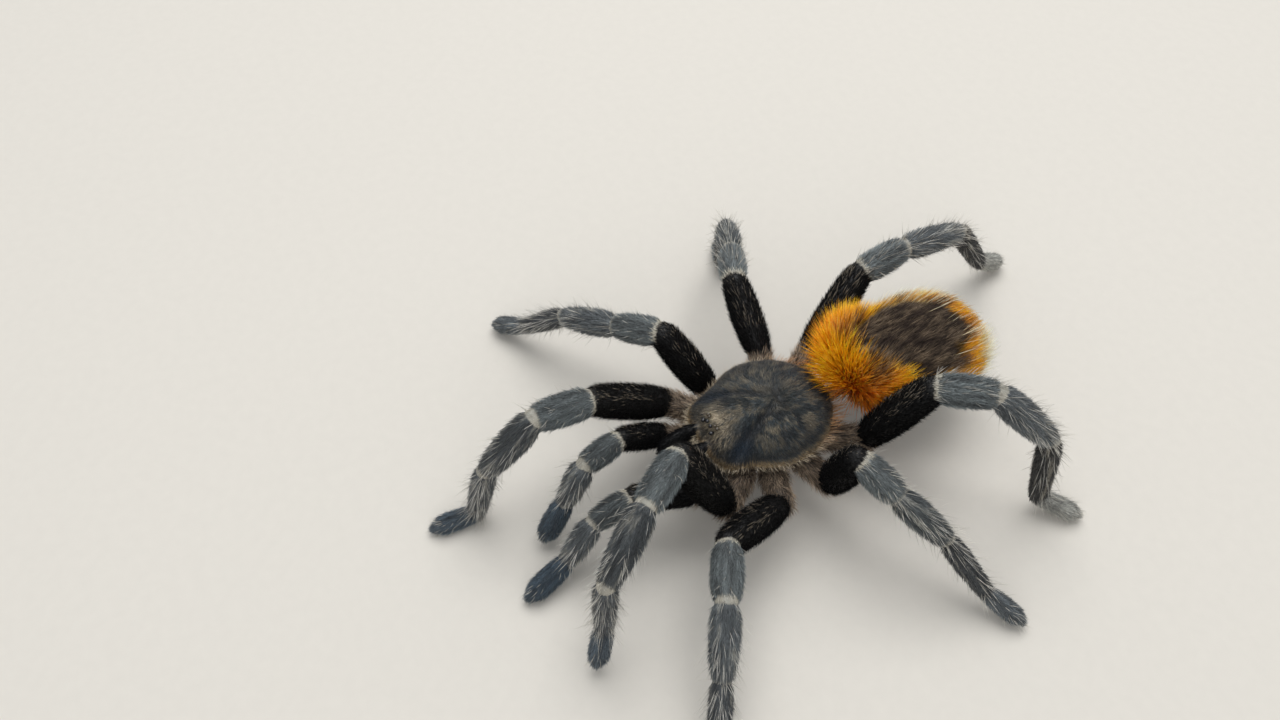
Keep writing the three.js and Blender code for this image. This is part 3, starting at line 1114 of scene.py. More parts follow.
# From joint to joint, from the hip out. A palp has no metatarsus.
LEG_LENGTHS = {
    "leg_1": dict(zip(Part, (5.9, 11.6, 7.2, 9.0, 8.4, 6.0))),
    "leg_2": dict(zip(Part, (5.7, 10.8, 6.8, 8.2, 8.0, 5.8))),
    "leg_3": dict(zip(Part, (5.6, 9.8, 6.0, 7.4, 8.6, 5.8))),
    "leg_4": dict(zip(Part, (6.1, 12.0, 6.8, 9.8, 11.4, 6.0))),
    "palp": {Part.HIP: 4.3, Part.FEMUR: 8.0, Part.PATELLA: 5.2, Part.TIBIA: 6.0, Part.TARSUS: 6.4},
}
LEG_ROOTS = {"leg_1": (3.8, -4.3), "leg_2": (4.1, -1.2), "leg_3": (4.1, 2.0), "leg_4": (3.3, 5.0),
             "palp": (2.4, -6.9)}
STOUTNESS = {"leg_1": 1.1, "leg_2": 1.06, "leg_3": 1.04, "leg_4": 1.08, "palp": 1.0}
STANCES = {
    (Side.LEFT, "leg_1"): Stance((-49, 6), (-120, 61), (-54, 3, -22), (-48, -64)),
    (Side.LEFT, "leg_2"): Stance((-14, -3), (-68, 24), (-29, 2, -36), (-29, -13)),
    (Side.LEFT, "leg_3"): Stance((22, -12), (8, 72), (32, -29, -27), (32, -22)),
    (Side.LEFT, "leg_4"): Stance((52, 14), (62, 61), (52, 8, -41), (45, -16)),
    (Side.LEFT, "palp"): Stance((-60, 0), (-104, 15), (-85, -18), (-75, -18)),
    (Side.RIGHT, "leg_1"): Stance((-49, 12), (-90, 33), (-93, 10, -43), (-86, -5)),
    (Side.RIGHT, "leg_2"): Stance((-10, -24), (-45, 54), (-37, -20, -19), (-40, -24)),
    (Side.RIGHT, "leg_3"): Stance((30, 14), (0, 36), (24, -8, -21), (24, -14)),
    (Side.RIGHT, "leg_4"): Stance((57, 14), (63, 28), (85, 8, -12), (84, -30)),
    (Side.RIGHT, "palp"): Stance((-61, 0), (-102, 38), (-104, -4), (-103, -56)),
}


class Animal:
    """All the forms of the body, and where any point of its surface is on it."""

    SAMPLES = 32  # stations at which a bone's half width is kept
    KNEE = 0.15  # a joint's outer side belongs to the segment before it by this much
    BLEND = 0.35  # the ways of the coat blend over this distance from bone to bone
    UNDER_RIM = -0.25  # the carapace's own coat ends this far under the middle of its rim
    EGG_UNIT = 5.5  # what one unit of the egg's own measure stands for
    FLANK_SIZE = (4.7, 6.6, 2.0)  # half sizes of the soft flanks under the carapace, as the survey takes them
    FLANK_AT = (-0.4, -2.6)  # how far their middle is behind and above the rim's
    FLANK_HOLD = 0.25  # the flanks claim a point only where they are nearer than all else by this much

    def __init__(self) -> None:
        """Lays out the body's forms and every bone of its strands."""
        self.prosoma = Prosoma()
        self.jaws = Jaws()
        self.abdomen = Abdomen()
        self.limbs = [Limb(f"{side.name.lower()}_{kind}", side, LEG_LENGTHS[kind], LEG_ROOTS[kind], stance,
                           PALP_GIRTHS if kind == "palp" else LEG_GIRTHS, STOUTNESS[kind])
                      for (side, kind), stance in STANCES.items()]
        self.bones: list[Bone] = []
        for strand, limb in enumerate(self.limbs):
            self.bones += limb.bones(self.prosoma, strand)
        strand = len(self.limbs)
        for side in Side:
            self.bones += self.jaws.bones(self.prosoma, side, strand)
            self.bones += Spinnerets().bones(side, strand + 1)
            self.bones += SHORT_SPINNERETS.bones(side, strand + 2)
            strand += 3
        self.bones += self.abdomen.waist_bones(strand)
        self.carapace_strand, self.belly_strand, self.abdomen_strand = strand + 1, strand + 2, strand + 3
        self._gather()

    def _gather(self) -> None:
        """Keeps the bones' measures as arrays, one row for each bone."""
        def column(name: str) -> Array:
            """One measure of every bone."""
            return np.array([getattr(bone, name) for bone in self.bones])

        self.starts, self.alongs, self.acrosses = column("start"), column("along"), column("across")
        self.aboves, self.deepers, self.lengths = column("above"), column("deeper"), column("length")
        self.strands, self.befores, self.wholes = column("strand"), column("before"), column("whole")
        self.parts = np.array([bone.part.value for bone in self.bones])
        shares = np.linspace(0, 1, self.SAMPLES + 1)
        self.widths = np.array([bone.half_width(shares * bone.length) for bone in self.bones])

    def forms(self) -> Iterable[Form]:
        """Every closed form that the skin is grown over.

        Returns:
            The points and the triangles of each.
        """
        yield self.prosoma.shell()
        yield from self.prosoma.pads()
        yield self.abdomen.form()
        for bone in self.bones:
            yield bone.form()

    def survey(self, points: Array) -> Survey:
        """Finds where points of the surface are on the animal, a few thousand at a time.

        Args:
            points: Points of the surface.

        Returns:
            Their survey.
        """
        pieces = [self._survey(points[i:i + BATCH]) for i in range(0, len(points), BATCH)]
        return Survey(*(np.concatenate([getattr(piece, entry.name) for piece in pieces])
                        for entry in fields(Survey)))

    def _survey(self, points: Array) -> Survey:
        """Finds the bone or body form that each point is nearest to, and its place on it.

        Args:
            points: Points of the surface.

        Returns:
            Their survey.
        """
        rows = np.arange(len(points))
        away = points[:, None] - self.starts
        free_run = np.einsum("nbk,bk->nb", away, self.alongs)
        run = np.clip(free_run, 0, self.lengths)
        off = away - run[..., None] * self.alongs
        aside = np.einsum("nbk,bk->nb", off, self.acrosses)
        over = np.einsum("nbk,bk->nb", off, self.aboves)
        behind = np.einsum("nbk,bk->nb", off, self.alongs)
        distance = np.sqrt(aside ** 2 + (over / self.deepers) ** 2 + behind ** 2)
        station = np.clip(np.rint(run / self.lengths * self.SAMPLES).astype(int), 0, self.SAMPLES)
        slack = distance - self.widths[np.arange(len(self.bones)), station]
        slack = slack + self.KNEE * (free_run < 0)
        best = slack.argmin(1)
        least = slack[rows, best]
        same = self.strands[None] == self.strands[best][:, None]
        pull = np.exp(-(slack - least[:, None]) / self.BLEND) * same
        found = Survey(points, self.parts[best], self.strands[best], run[rows, best],
                       self.lengths[best] - run[rows, best],
                       (self.befores[best] + run[rows, best]) / self.wholes[best],
                       np.arctan2(aside[rows, best], over[rows, best]), unit(pull @ self.alongs))
        self._claim_trunk(found, least)
        self._claim_abdomen(found, least)
        return found

    def _claim_trunk(self, found: Survey, least: Array) -> None:
        """Gives the carapace and the flanks under it the points that are nearest to them.

        Args:
            found: The survey so far, which is changed.
            least: Distance to the nearest form so far, which is lowered.
        """
        slack, local, reach = self.prosoma.slack(found.points)
        away = local[:, :2] - (0, self.prosoma.fovea_at)
        outward = self.prosoma.to_body(np.column_stack([away, 0 * reach])) - self.prosoma.to_body(np.zeros(3))
        low = local[:, 2] < self.UNDER_RIM
        (wide, long, high), (back, up) = self.FLANK_SIZE, self.FLANK_AT
        radius = np.hypot(local[:, 0] / wide, (local[:, 1] - back) / long)
        pad = np.maximum((radius - 1) * wide, np.abs(local[:, 2] - up) - high) + self.FLANK_HOLD
        shell = (slack < least) & ~low
        belly = ((slack < least) & low) | (pad < np.minimum(least, slack))
        belly &= local[:, 2] < 0
        for mask, part, strand in ((shell, Part.CARAPACE, self.carapace_strand),
                                   (belly & ~shell, Part.UNDERSIDE, self.belly_strand)):
            found.part[mask] = part.value
            found.strand[mask] = strand
            found.along[mask] = reach[mask]
            found.around[mask] = np.arctan2(local[mask, 0], -local[mask, 1])
            spread = 0.75 * unit(outward[mask]) if part is Part.CARAPACE else 0
            found.lie[mask] = unit(spread + np.array([0.0, 0.4, 0.0]))
        least[shell | belly] = np.minimum(least, slack)[shell | belly]

    def _claim_abdomen(self, found: Survey, least: Array) -> None:
        """Gives the abdomen the points that are nearest to it.

        Args:
            found: The survey so far, which is changed.
            least: Distance to the nearest form so far.
        """
        spot = self.abdomen.spot(found.points)
        mask = (np.linalg.norm(spot, axis=1) - 1) * self.EGG_UNIT < least
        found.part[mask] = Part.ABDOMEN.value
        found.strand[mask] = self.abdomen_strand
        found.along[mask] = (spot[mask, 1] + 1) / 2
        found.around[mask] = np.arctan2(spot[mask, 0], spot[mask, 2])
        abdomen = self.abdomen
        side, along = np.tanh(found.points[mask, 0]), found.along[mask]
        away = found.points[mask] - np.column_stack([
            3.0 * side, np.full_like(side, abdomen.at - abdomen.length / 2 + 1.2),
            np.full_like(side, abdomen.level - 4.4)])
        back = np.outer(0.1 + 0.6 * ramp(along, 0.15, 0.45), (0, 1, 0))
        found.lie[mask] = unit(0.8 * unit(away) + back)


class Markings:
    """The animal's colours over its whole surface, which the skin and the coat share."""

    PLAIN = {
        Part.HIP: "#847361", Part.FEMUR: "#0d0c0c", Part.PATELLA: "#787f80", Part.TIBIA: "#72787b",
        Part.METATARSUS: "#565a5d", Part.TARSUS: "#737a7e", Part.CARAPACE: "#2d3435",
        Part.JAW: "#0b0b0d", Part.UNDERSIDE: "#2b2521", Part.ABDOMEN: "#c8920e",
        Part.SPINNERET: "#2b2521",
    }
    # Some limbs' segments against the plain colour: red, green and blue.
    LIMB_TONES = {
        ("leg_4", Part.METATARSUS): (0.28, 0.25, 0.22), ("leg_4", Part.TARSUS): (3.1, 2.7, 2.3),
        ("leg_4", Part.FEMUR): (0.5, 0.5, 0.5), ("leg_3", Part.METATARSUS): (0.7, 0.7, 0.7),
        ("leg_1", Part.TIBIA): (0.6, 0.6, 0.6), ("leg_3", Part.TIBIA): (0.8, 0.8, 0.78),
        ("leg_1", Part.FEMUR): (1.8, 1.8, 1.6), ("leg_1", Part.METATARSUS): (1.3, 1.3, 1.3),
        ("leg_1", Part.TARSUS): (0.6, 0.7, 0.8), ("palp", Part.TARSUS): (0.4, 0.52, 0.64),
        ("palp", Part.PATELLA): (0.75, 0.75, 0.75), ("palp", Part.TIBIA): (0.9, 0.9, 0.9),
    }
    RING = linear("#f0e7d3")
    RIM = linear("#b39a74")
    OLIVE_GREY = linear("#857b68")
    # A painted blue-grey sheen, laid over the carapace in blotches.
    BLUE_GREY = linear("#55646b")
    HEAD_BUFF = linear("#c2b298")
    # Blue-black for the dark streaks of the hair, and for the painted shade in the furrows and the fovea and
    # the painted shadow line inside the rim.
    BLUE_BLACK = linear("#0c1218")
    # Painted shade, tinted deep blue, in the hollows beside the head.
    DEEP_BLUE = linear("#12293c")
    FRONT_SPOT = linear("#c08750")
    ORANGE = linear("#de7c02")
    FRONT_YELLOW = linear("#deaa06")
    RED_BROWN = linear("#6a2003")
    REAR_YELLOW = linear("#d89a12")
    OLIVE_YELLOW = linear("#ab8416")
    CREAM = linear("#eddcab")
    BELLY = linear("#241c16")
    PATCH = linear("#392f29")
    PATCH_STREAK = linear("#7d6c59")

    def __init__(self, animal: Animal) -> None:
        """Prepares the colours and the random variation.

        Args:
            animal: The animal that has them.
        """
        self.animal = animal
        self.plain = np.array([linear(self.PLAIN[part]) for part in Part])
        self.tones = np.ones((animal.abdomen_strand + 1, len(Part), 3))
        for strand, limb in enumerate(animal.limbs):
            for (kind, part), tone in self.LIMB_TONES.items():
                if limb.name.endswith(kind):
                    self.tones[strand, part.value] = tone
        self.mottle = Mottle(7)

    def at(self, survey: Survey) -> Array:
        """The linear colour at each surveyed point.

        Args:
            survey: Where the points are.

        Returns:
            Red, green and blue for each.
        """
        colour = self.plain[survey.part] * self.tones[survey.strand, survey.part]
        self._dress_limbs(survey, colour)
        self._dress_carapace(survey, colour)
        self._dress_abdomen(survey, colour)
        return colour

    def _streaks(self, survey: Survey, length: float, width: float) -> Array:
        """Variation drawn out along a limb, from 0 to 1: streaks of this length and width.

        Args:
            survey: Where the points are.
            length: Length of one streak.
            width: Its width.

        Returns:
            A number for each point.
        """
        lay = np.column_stack([survey.along + 13.0 * survey.part + 57.0 * survey.strand,
                               np.cos(survey.around) * 1.5 * length / width,
                               np.sin(survey.around) * 1.5 * length / width])
        return self.mottle.at(lay, length)

    def _dress_limbs(self, survey: Survey, colour: Array) -> None:
        """Streaks the shanks and rings the joints.

        Args:
            survey: Where the points are.
            colour: Their colours, which are changed.
        """
        shank = survey.on(Part.PATELLA, Part.TIBIA, Part.METATARSUS, Part.TARSUS)
        streak = self._streaks(survey, 2.4, 0.3)
        colour[shank] *= (0.4 + 1.2 * streak[shank])[:, None]
        fleck = ramp(streak, 0.7, 0.84)
        rings = survey.on(Part.PATELLA) * ramp(survey.along, 0.52, 0.38)
        rings += 0.75 * survey.on(Part.PATELLA) * ramp(survey.remaining, 0.34, 0.2)
        rings += 0.7 * survey.on(Part.TIBIA) * ramp(survey.remaining, 0.35, 0.2)
        rings += 0.35 * fleck * survey.on(Part.TIBIA, Part.METATARSUS)
        flank = 0.6 + 0.4 * np.abs(np.sin(survey.around))
        colour[:] = mix(colour, self.RING, np.clip(rings * flank, 0, 1))
        hip = survey.on(Part.HIP)
        colour[hip] *= (0.5 + 1.0 * self.mottle.at(survey.points[hip], 0.9))[:, None]

    def _dress_carapace(self, survey: Survey, colour: Array) -> None:
        """Streaks the carapace in rays, pales its head and rim, and paints shade into its furrows, hollows
        and fovea, a shadow line inside the rim, and a blue-grey sheen in blotches.

        Args:
            survey: Where the points are.
            colour: Their colours, which are changed.
        """
        mask = survey.on(Part.CARAPACE)
        prosoma = self.animal.prosoma
        x, y, _ = prosoma.from_body(survey.points[mask]).T
        reach = survey.along[mask]
        back = y - prosoma.fovea_at
        warp = self.mottle.at(survey.points[mask] + 70, 2.2) - 0.5
        distance, bearing = np.hypot(x, back), np.arctan2(back, x) + 1.1 * warp
        fan = np.column_stack([np.cos(bearing), np.sin(bearing)])
        rays = self.mottle.at(np.column_stack([0.6 * distance, 10 * fan]), 0.9)
        fine = self.mottle.at(np.column_stack([0.9 * distance, 30 * fan]) + 9, 0.9)
        blotch = self.mottle.at(survey.points[mask] + 40, 1.8)
        # Painted sheen: blotches of blue-grey over the carapace.
        tone = mix(colour[mask], self.BLUE_GREY, 0.5 * ramp(blotch, 0.4, 0.7))
        drawn = self.mottle.at(survey.points[mask] * (1, 0.28, 1) + 25, 0.4)
        stroke = rays * 0.25 + fine * 0.35 + drawn * 0.4
        clear = 0.4 + 0.6 * ramp(distance, 0.8, 3.0)
        tone = mix(tone, self.OLIVE_GREY, 0.95 * ramp(stroke, 0.48, 0.6) * clear)
        tone = mix(tone, self.BLUE_BLACK, 0.7 * ramp(stroke, 0.46, 0.37) * clear)
        head = hump(x, 2.2) * hump(y - prosoma.mound_at - 0.1, 1.7)
        tone = mix(tone, self.HEAD_BUFF, np.minimum(1.7 * head * ramp(fine, 0.3, 0.5), 1))
        spot = hump(np.abs(x) - 1.5, 0.9) * ramp(reach, 0.9, 0.97) * (y < -6)
        tone = mix(tone, self.FRONT_SPOT, 0.8 * spot)
        sides = ramp(np.abs(x), 3.0, 5.5) * ramp(reach, 0.95, 0.85)
        tone = tone * (1 - 0.45 * sides)[:, None]
        # Painted shade: the furrows are darkened blue-black, as shade falls in them.
        tone = mix(tone, self.BLUE_BLACK, 0.8 * np.clip(prosoma.furrow(x, y, reach) / 0.4, 0, 1))
        # Painted shade in the hollows beside the head.
        tone = mix(tone, self.DEEP_BLUE, 0.9 * prosoma.hollow(x, y))
        # Painted shade in the pit of the fovea.
        pit = hump(x, prosoma.fovea_size[0]) * hump(y - prosoma.fovea_at, prosoma.fovea_size[1])
        tone = mix(tone, self.BLUE_BLACK, 0.85 * pit)
        # Painted shadow: a dark line just inside the rim, where the fringe shades the dome.
        tone = mix(tone, self.BLUE_BLACK, 0.7 * hump(reach - 0.87, 0.03))
        colour[mask] = mix(tone, self.RIM, ramp(reach, 0.91, 0.95) * 0.9)

    def _dress_abdomen(self, survey: Survey, colour: Array) -> None:
        """Orange in front, yellow on the flanks and behind, and a dark patch on the back.

        Args:
            survey: Where the points are.
            colour: Their colours, which are changed.
        """
        mask = survey.on(Part.ABDOMEN)
        points = survey.points[mask]
        spot = self.animal.abdomen.spot(points)
        wander = self.mottle.at(points, 1.6)
        fine = self.mottle.at(points * (1, 0.22, 1), 0.3)
        side, share, rise = spot.T
        root = np.linalg.norm((np.abs(points[:, 0]) - 3.2, points[:, 1] - 10.6, points[:, 2] - 9.0), axis=0)
        glow = np.minimum(1.5 * hump(root + 2.4 * (wander - 0.5), 4.8), 1) * ramp(share, -0.2, -0.5)
        tone = mix(mix(colour[mask], self.FRONT_YELLOW, ramp(share, 0.0, -0.5)), self.ORANGE, glow)
        tone = mix(tone, self.REAR_YELLOW, ramp(share, 0.4, 0.65))
        low = ramp(rise + 0.3 * (wander - 0.5), 0.35, -0.15)
        low = np.maximum(low, 0.75 * ramp(np.abs(side), 0.4, 0.75) * ramp(share, 0.5, 0.3))
        tone = mix(tone, self.OLIVE_YELLOW, low * ramp(share, -0.65, -0.25))
        x, y, _ = points.T
        cream = ramp(x, -0.5, -2.5) * hump(y - 22.3, 3.0) * ramp(rise, -0.1, 0.3)
        cream = cream + ramp(x, 2.0, 3.5) * ramp(y, 24.5, 26.0) * ramp(rise, -0.4, 0.0)
        tone = mix(tone, self.CREAM, 0.45 * np.clip(cream, 0, 1))
        under = rise + 0.6 * ramp(share, -0.45, -0.75) + 0.3 * (wander - 0.5)
        tone = mix(tone, self.BELLY, ramp(under, -0.15, -0.55))
        tone = mix(tone, self.RED_BROWN, 0.95 * hump(root, 1.9))
        patch = self.animal.abdomen.patch(points, wander)
        dark = mix(np.broadcast_to(self.PATCH, tone.shape), self.PATCH_STREAK, ramp(fine, 0.35, 0.85))
        colour[mask] = mix(tone, dark, patch)


# ---- the skin


@dataclass
class Hide:
    """The finished skin as arrays, for hair to be set in."""

    points: Array
    normals: Array
    triangles: Array
    survey: Survey

    def __post_init__(self) -> None:
        """Works out each triangle's area and survey."""
        a, b, c = (self.points[self.triangles[:, i]] for i in range(3))
        self.areas = np.linalg.norm(np.cross(b - a, c - a), axis=1) / 2
        self.local = pick(self.survey, self.triangles[:, 0])

    def scatter(self, per_area: Array, rng: np.random.Generator) -> tuple[Array, Array]:
        """Scatters roots over the skin.

        Args:
            per_area: Roots for each square millimetre, for each triangle.
            rng: The source of chance.

        Returns:
            The roots and the skin's normals there.
        """
        order = rng.permutation(len(self.triangles))
        expected = (self.areas * per_area)[order]
        counts = np.diff(np.floor(np.cumsum(expected) + rng.random()), prepend=0).astype(int)
        corners = self.triangles[np.repeat(order, counts)]
        u, v = rng.random((2, len(corners)))
        over = u + v > 1
        u, v = np.where(over, 1 - u, u), np.where(over, 1 - v, v)
        weights = np.stack([1 - u - v, u, v])[..., None]
        roots = sum(weights[i] * self.points[corners[:, i]] for i in range(3))
        normals = sum(weights[i] * self.normals[corners[:, i]] for i in range(3))
        return roots, unit(normals)


@dataclass(frozen=True)
class Skin:
    """The one skin over all the flesh: the forms grown together, smoothed and coloured."""

    name: str = "skin"
    voxel: float = 0.22
    smoothing: int = 4
    softness: float = 0.5  # how far each smoothing goes
    under_hair: float = 0.6  # the skin is this share of the coat's brightness
    lowest: float = 0.01  # no part of it comes nearer to the floor

    def grow(self, animal: Animal) -> Hide:
        """Grows one closed surface over the animal's forms.

        Args:
            animal: The forms.

        Returns:
            The surface as arrays, in millimetres.
        """
        soup = Soup()
        for points, triangles in animal.forms():
            soup.add(points, triangles)
        rough = add_object("forms", raw_mesh("forms", *soup.joined()))
        remesh = rough.modifiers.new("grow", "REMESH")
        remesh.mode = "VOXEL"
        remesh.voxel_size = self.voxel
        smooth = rough.modifiers.new("smooth", "SMOOTH")
        smooth.factor = self.softness
        smooth.iterations = self.smoothing
        graph = bpy.context.evaluated_depsgraph_get()
        mesh = bpy.data.meshes.new_from_object(rough.evaluated_get(graph))
        bpy.data.objects.remove(rough)
        mesh.calc_loop_triangles()
        points = read_rows(mesh.vertices, "co", np.float32).astype(float)
        triangles = read_rows(mesh.loop_triangles, "vertices", np.int32)
        normals = read_rows(mesh.vertex_normals, "vector", np.float32).astype(float)
        bpy.data.meshes.remove(mesh)
        points[:, 2] = np.maximum(points[:, 2], self.lowest)
        return Hide(points, normals, triangles, animal.survey(points))

    def dress(self, hide: Hide, markings: Markings, ground: Ground, kept: Iterable[str]) -> None:
        """Makes the skin's piece, which replaces every node of flesh.

        Args:
            hide: The grown surface.
            markings: The animal's colours.
            ground: Where the animal stands.
            kept: Nodes that other pieces stand for.
        """
        mesh = raw_mesh(self.name, ground.place(hide.points), hide.triangles)
        paint(mesh, markings.at(hide.survey) * self.under_hair)
        piece = add_piece(self.name, mesh, CUTICLE.make(), "carapace_down")
        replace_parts(piece, *sorted(set(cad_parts) - set(kept)))


def paint(mesh: bpy.types.Mesh, colours: Array) -> None:
    """Puts a linear colour on each point of a mesh.

    Args:
        mesh: The mesh.
        colours: A row for each of its points.
    """
    layer = mesh.color_attributes.new(name=COLOUR_LAYER, type="FLOAT_COLOR", domain="POINT")
    rgba = np.column_stack([np.clip(colours, 0, 1), np.ones(len(colours))])
    layer.data.foreach_set("color", rgba.astype(np.float32).ravel())


def add_piece(name: str, mesh: bpy.types.Mesh, material: bpy.types.Material, slot: str) -> bpy.types.Object:
    """Adds a piece of the animal to the scene, riding on its body.

    Args:
        name: The piece's name.
        mesh: Its mesh, in metres.
        material: Its finish.
        slot: The record's slot for its finish, which is not used.

    Returns:
        The piece.
    """
    piece = add_object(name, mesh)
    mesh.materials.append(material)
    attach(piece, BODY)
    log.info("%s: %d triangles", name, len(mesh.polygons))
    return piece


# ---- the coat


@dataclass
class Strands:
    """Hairs that are ready to become one mesh."""

    roots: Array
    ways: Array  # the way that each hair leaves the skin
    lies: Array  # the way that it bends to
    lengths: Array
    widths: Array
    bends: Array  # 0 for straight, 1 for wholly bent over
    root_colours: Array
    tip_colours: Array
    spots: Array  # each root's place on the map

    SIDES = 3
    PATCH = 0.003  # across a hair's patch on the map
    TAPER = 0.7  # below 1 a hair keeps its width longer before its tip
    LOWEST = 0.02  # no hair comes nearer to the floor

    def mesh(self, name: str, rings: int, ground: Ground, rng: np.random.Generator) -> bpy.types.Mesh:
        """Makes solid hairs, each a tapered three-sided spike with a closed foot.

        Args:
            name: The mesh's name.
            rings: Rings along a hair before its tip.
            ground: Where the animal stands.
            rng: The source of chance.

        Returns:
            The mesh, with its colours and its map.
        """
        count, sides = len(self.roots), self.SIDES
        shares = np.arange(rings) / rings
        aside = unit(np.cross(self.ways, rng.normal(size=(count, 3))))
        over = np.cross(self.ways, aside)
        taper = (1 - shares) ** self.TAPER
        turn = np.arange(sides) * 2 * np.pi / sides
        round_it = (np.cos(turn)[:, None, None] * aside + np.sin(turn)[:, None, None] * over)
        line = self._line(np.append(shares, 1.0))
        rows = line[:-1, None] + round_it[None] * (taper[:, None, None, None] * self.widths[:, None] / 2)
        points = np.concatenate([rows.reshape(-1, count, 3), line[-1:]]).transpose(1, 0, 2)
        points[..., 2] = np.maximum(points[..., 2], self.LOWEST)
        per_hair = rings * sides + 1
        pattern = self._pattern(rings)
        faces = (np.arange(count)[:, None, None] * per_hair + pattern).reshape(-1, 3)
        mesh = raw_mesh(name, ground.place(points.reshape(-1, 3)), faces)
        blend_at = np.append(np.repeat(shares, sides), 1.0)
        colours = mix(self.root_colours[:, None], self.tip_colours[:, None],
                      np.broadcast_to(blend_at, (count, per_hair)))
        paint(mesh, colours.reshape(-1, 3))
        around = np.append(np.tile(turn, rings), 0.0)
        petal = np.stack([np.cos(around), np.sin(around)], -1) * ((1 - blend_at) * self.PATCH / 2)[:, None]
        spread = (self.spots[:, None] + petal).reshape(-1, 2)
        layer = mesh.uv_layers.new(name=BAKE_MAP)
        layer.data.foreach_set("uv", spread[faces.ravel()].astype(np.float32).ravel())
        return mesh

    def _line(self, shares: Array) -> Array:
        """The middle of every hair at each share of its length.

        Args:
            shares: Shares of the length, from 0 to 1.

        Returns:
            A row of points for each share.
        """
        over = 0.5 * self.bends[:, None] * shares[:, None, None] ** 2
        reach = shares[:, None, None] * self.ways + over * (self.lies - self.ways)
        return self.roots + reach * self.lengths[:, None]

    def _pattern(self, rings: int) -> Array:
        """Triangles of one hair: its foot, its sides and its tip.

        Args:
            rings: Rings along a hair before its tip.

        Returns:
            Three of the hair's point numbers for each triangle.
        """
        sides = self.SIDES
        tip = rings * sides
        triangles = [(0, 2, 1)]
        for ring in range(rings):
            for i in range(sides):
                a, b = ring * sides + i, ring * sides + (i + 1) % sides
                if ring == rings - 1:
                    triangles.append((a, b, tip))
                else:
                    triangles += [(a, b, b + sides), (a, b + sides, a + sides)]
        return np.array(triangles)


def map_places(survey: Survey) -> Array:
    """Places on an unwrap of the skin: a tile for each strand or body form, none of them overlapping.

    Args:
        survey: Where the points are on the animal.

    Returns:
        Two map coordinates for each point.
    """
    flat = np.column_stack([survey.whole, (survey.around + np.pi) / (2 * np.pi)])
    body = survey.on(Part.CARAPACE)
    disc = np.column_stack([np.sin(survey.around), np.cos(survey.around)]) * survey.along[:, None] / 2.2 + 0.5
    flat[body] = disc[body]
    egg = survey.on(Part.ABDOMEN)
    flat[egg, 0] = survey.along[egg]
    belly = survey.on(Part.UNDERSIDE)
    flat[belly] = np.clip((survey.points[belly, :2] + (7, 10)) / (14, 22), 0, 1)
    tiles, tile = np.unique(survey.strand, return_inverse=True)
    columns = math.ceil(math.sqrt(len(tiles)))
    rows = math.ceil(len(tiles) / columns)
    corner = np.column_stack([tile % columns, tile // columns])
    return (corner + 0.03 + 0.94 * np.clip(flat, 0, 1)) / (columns, rows)


@dataclass(frozen=True)
class Dye:
    """Colours of hair that doesn't take after the markings under it."""

    root: str
    tip: str
    darkest: float  # the brightness of single hairs, against these colours
    brightest: float


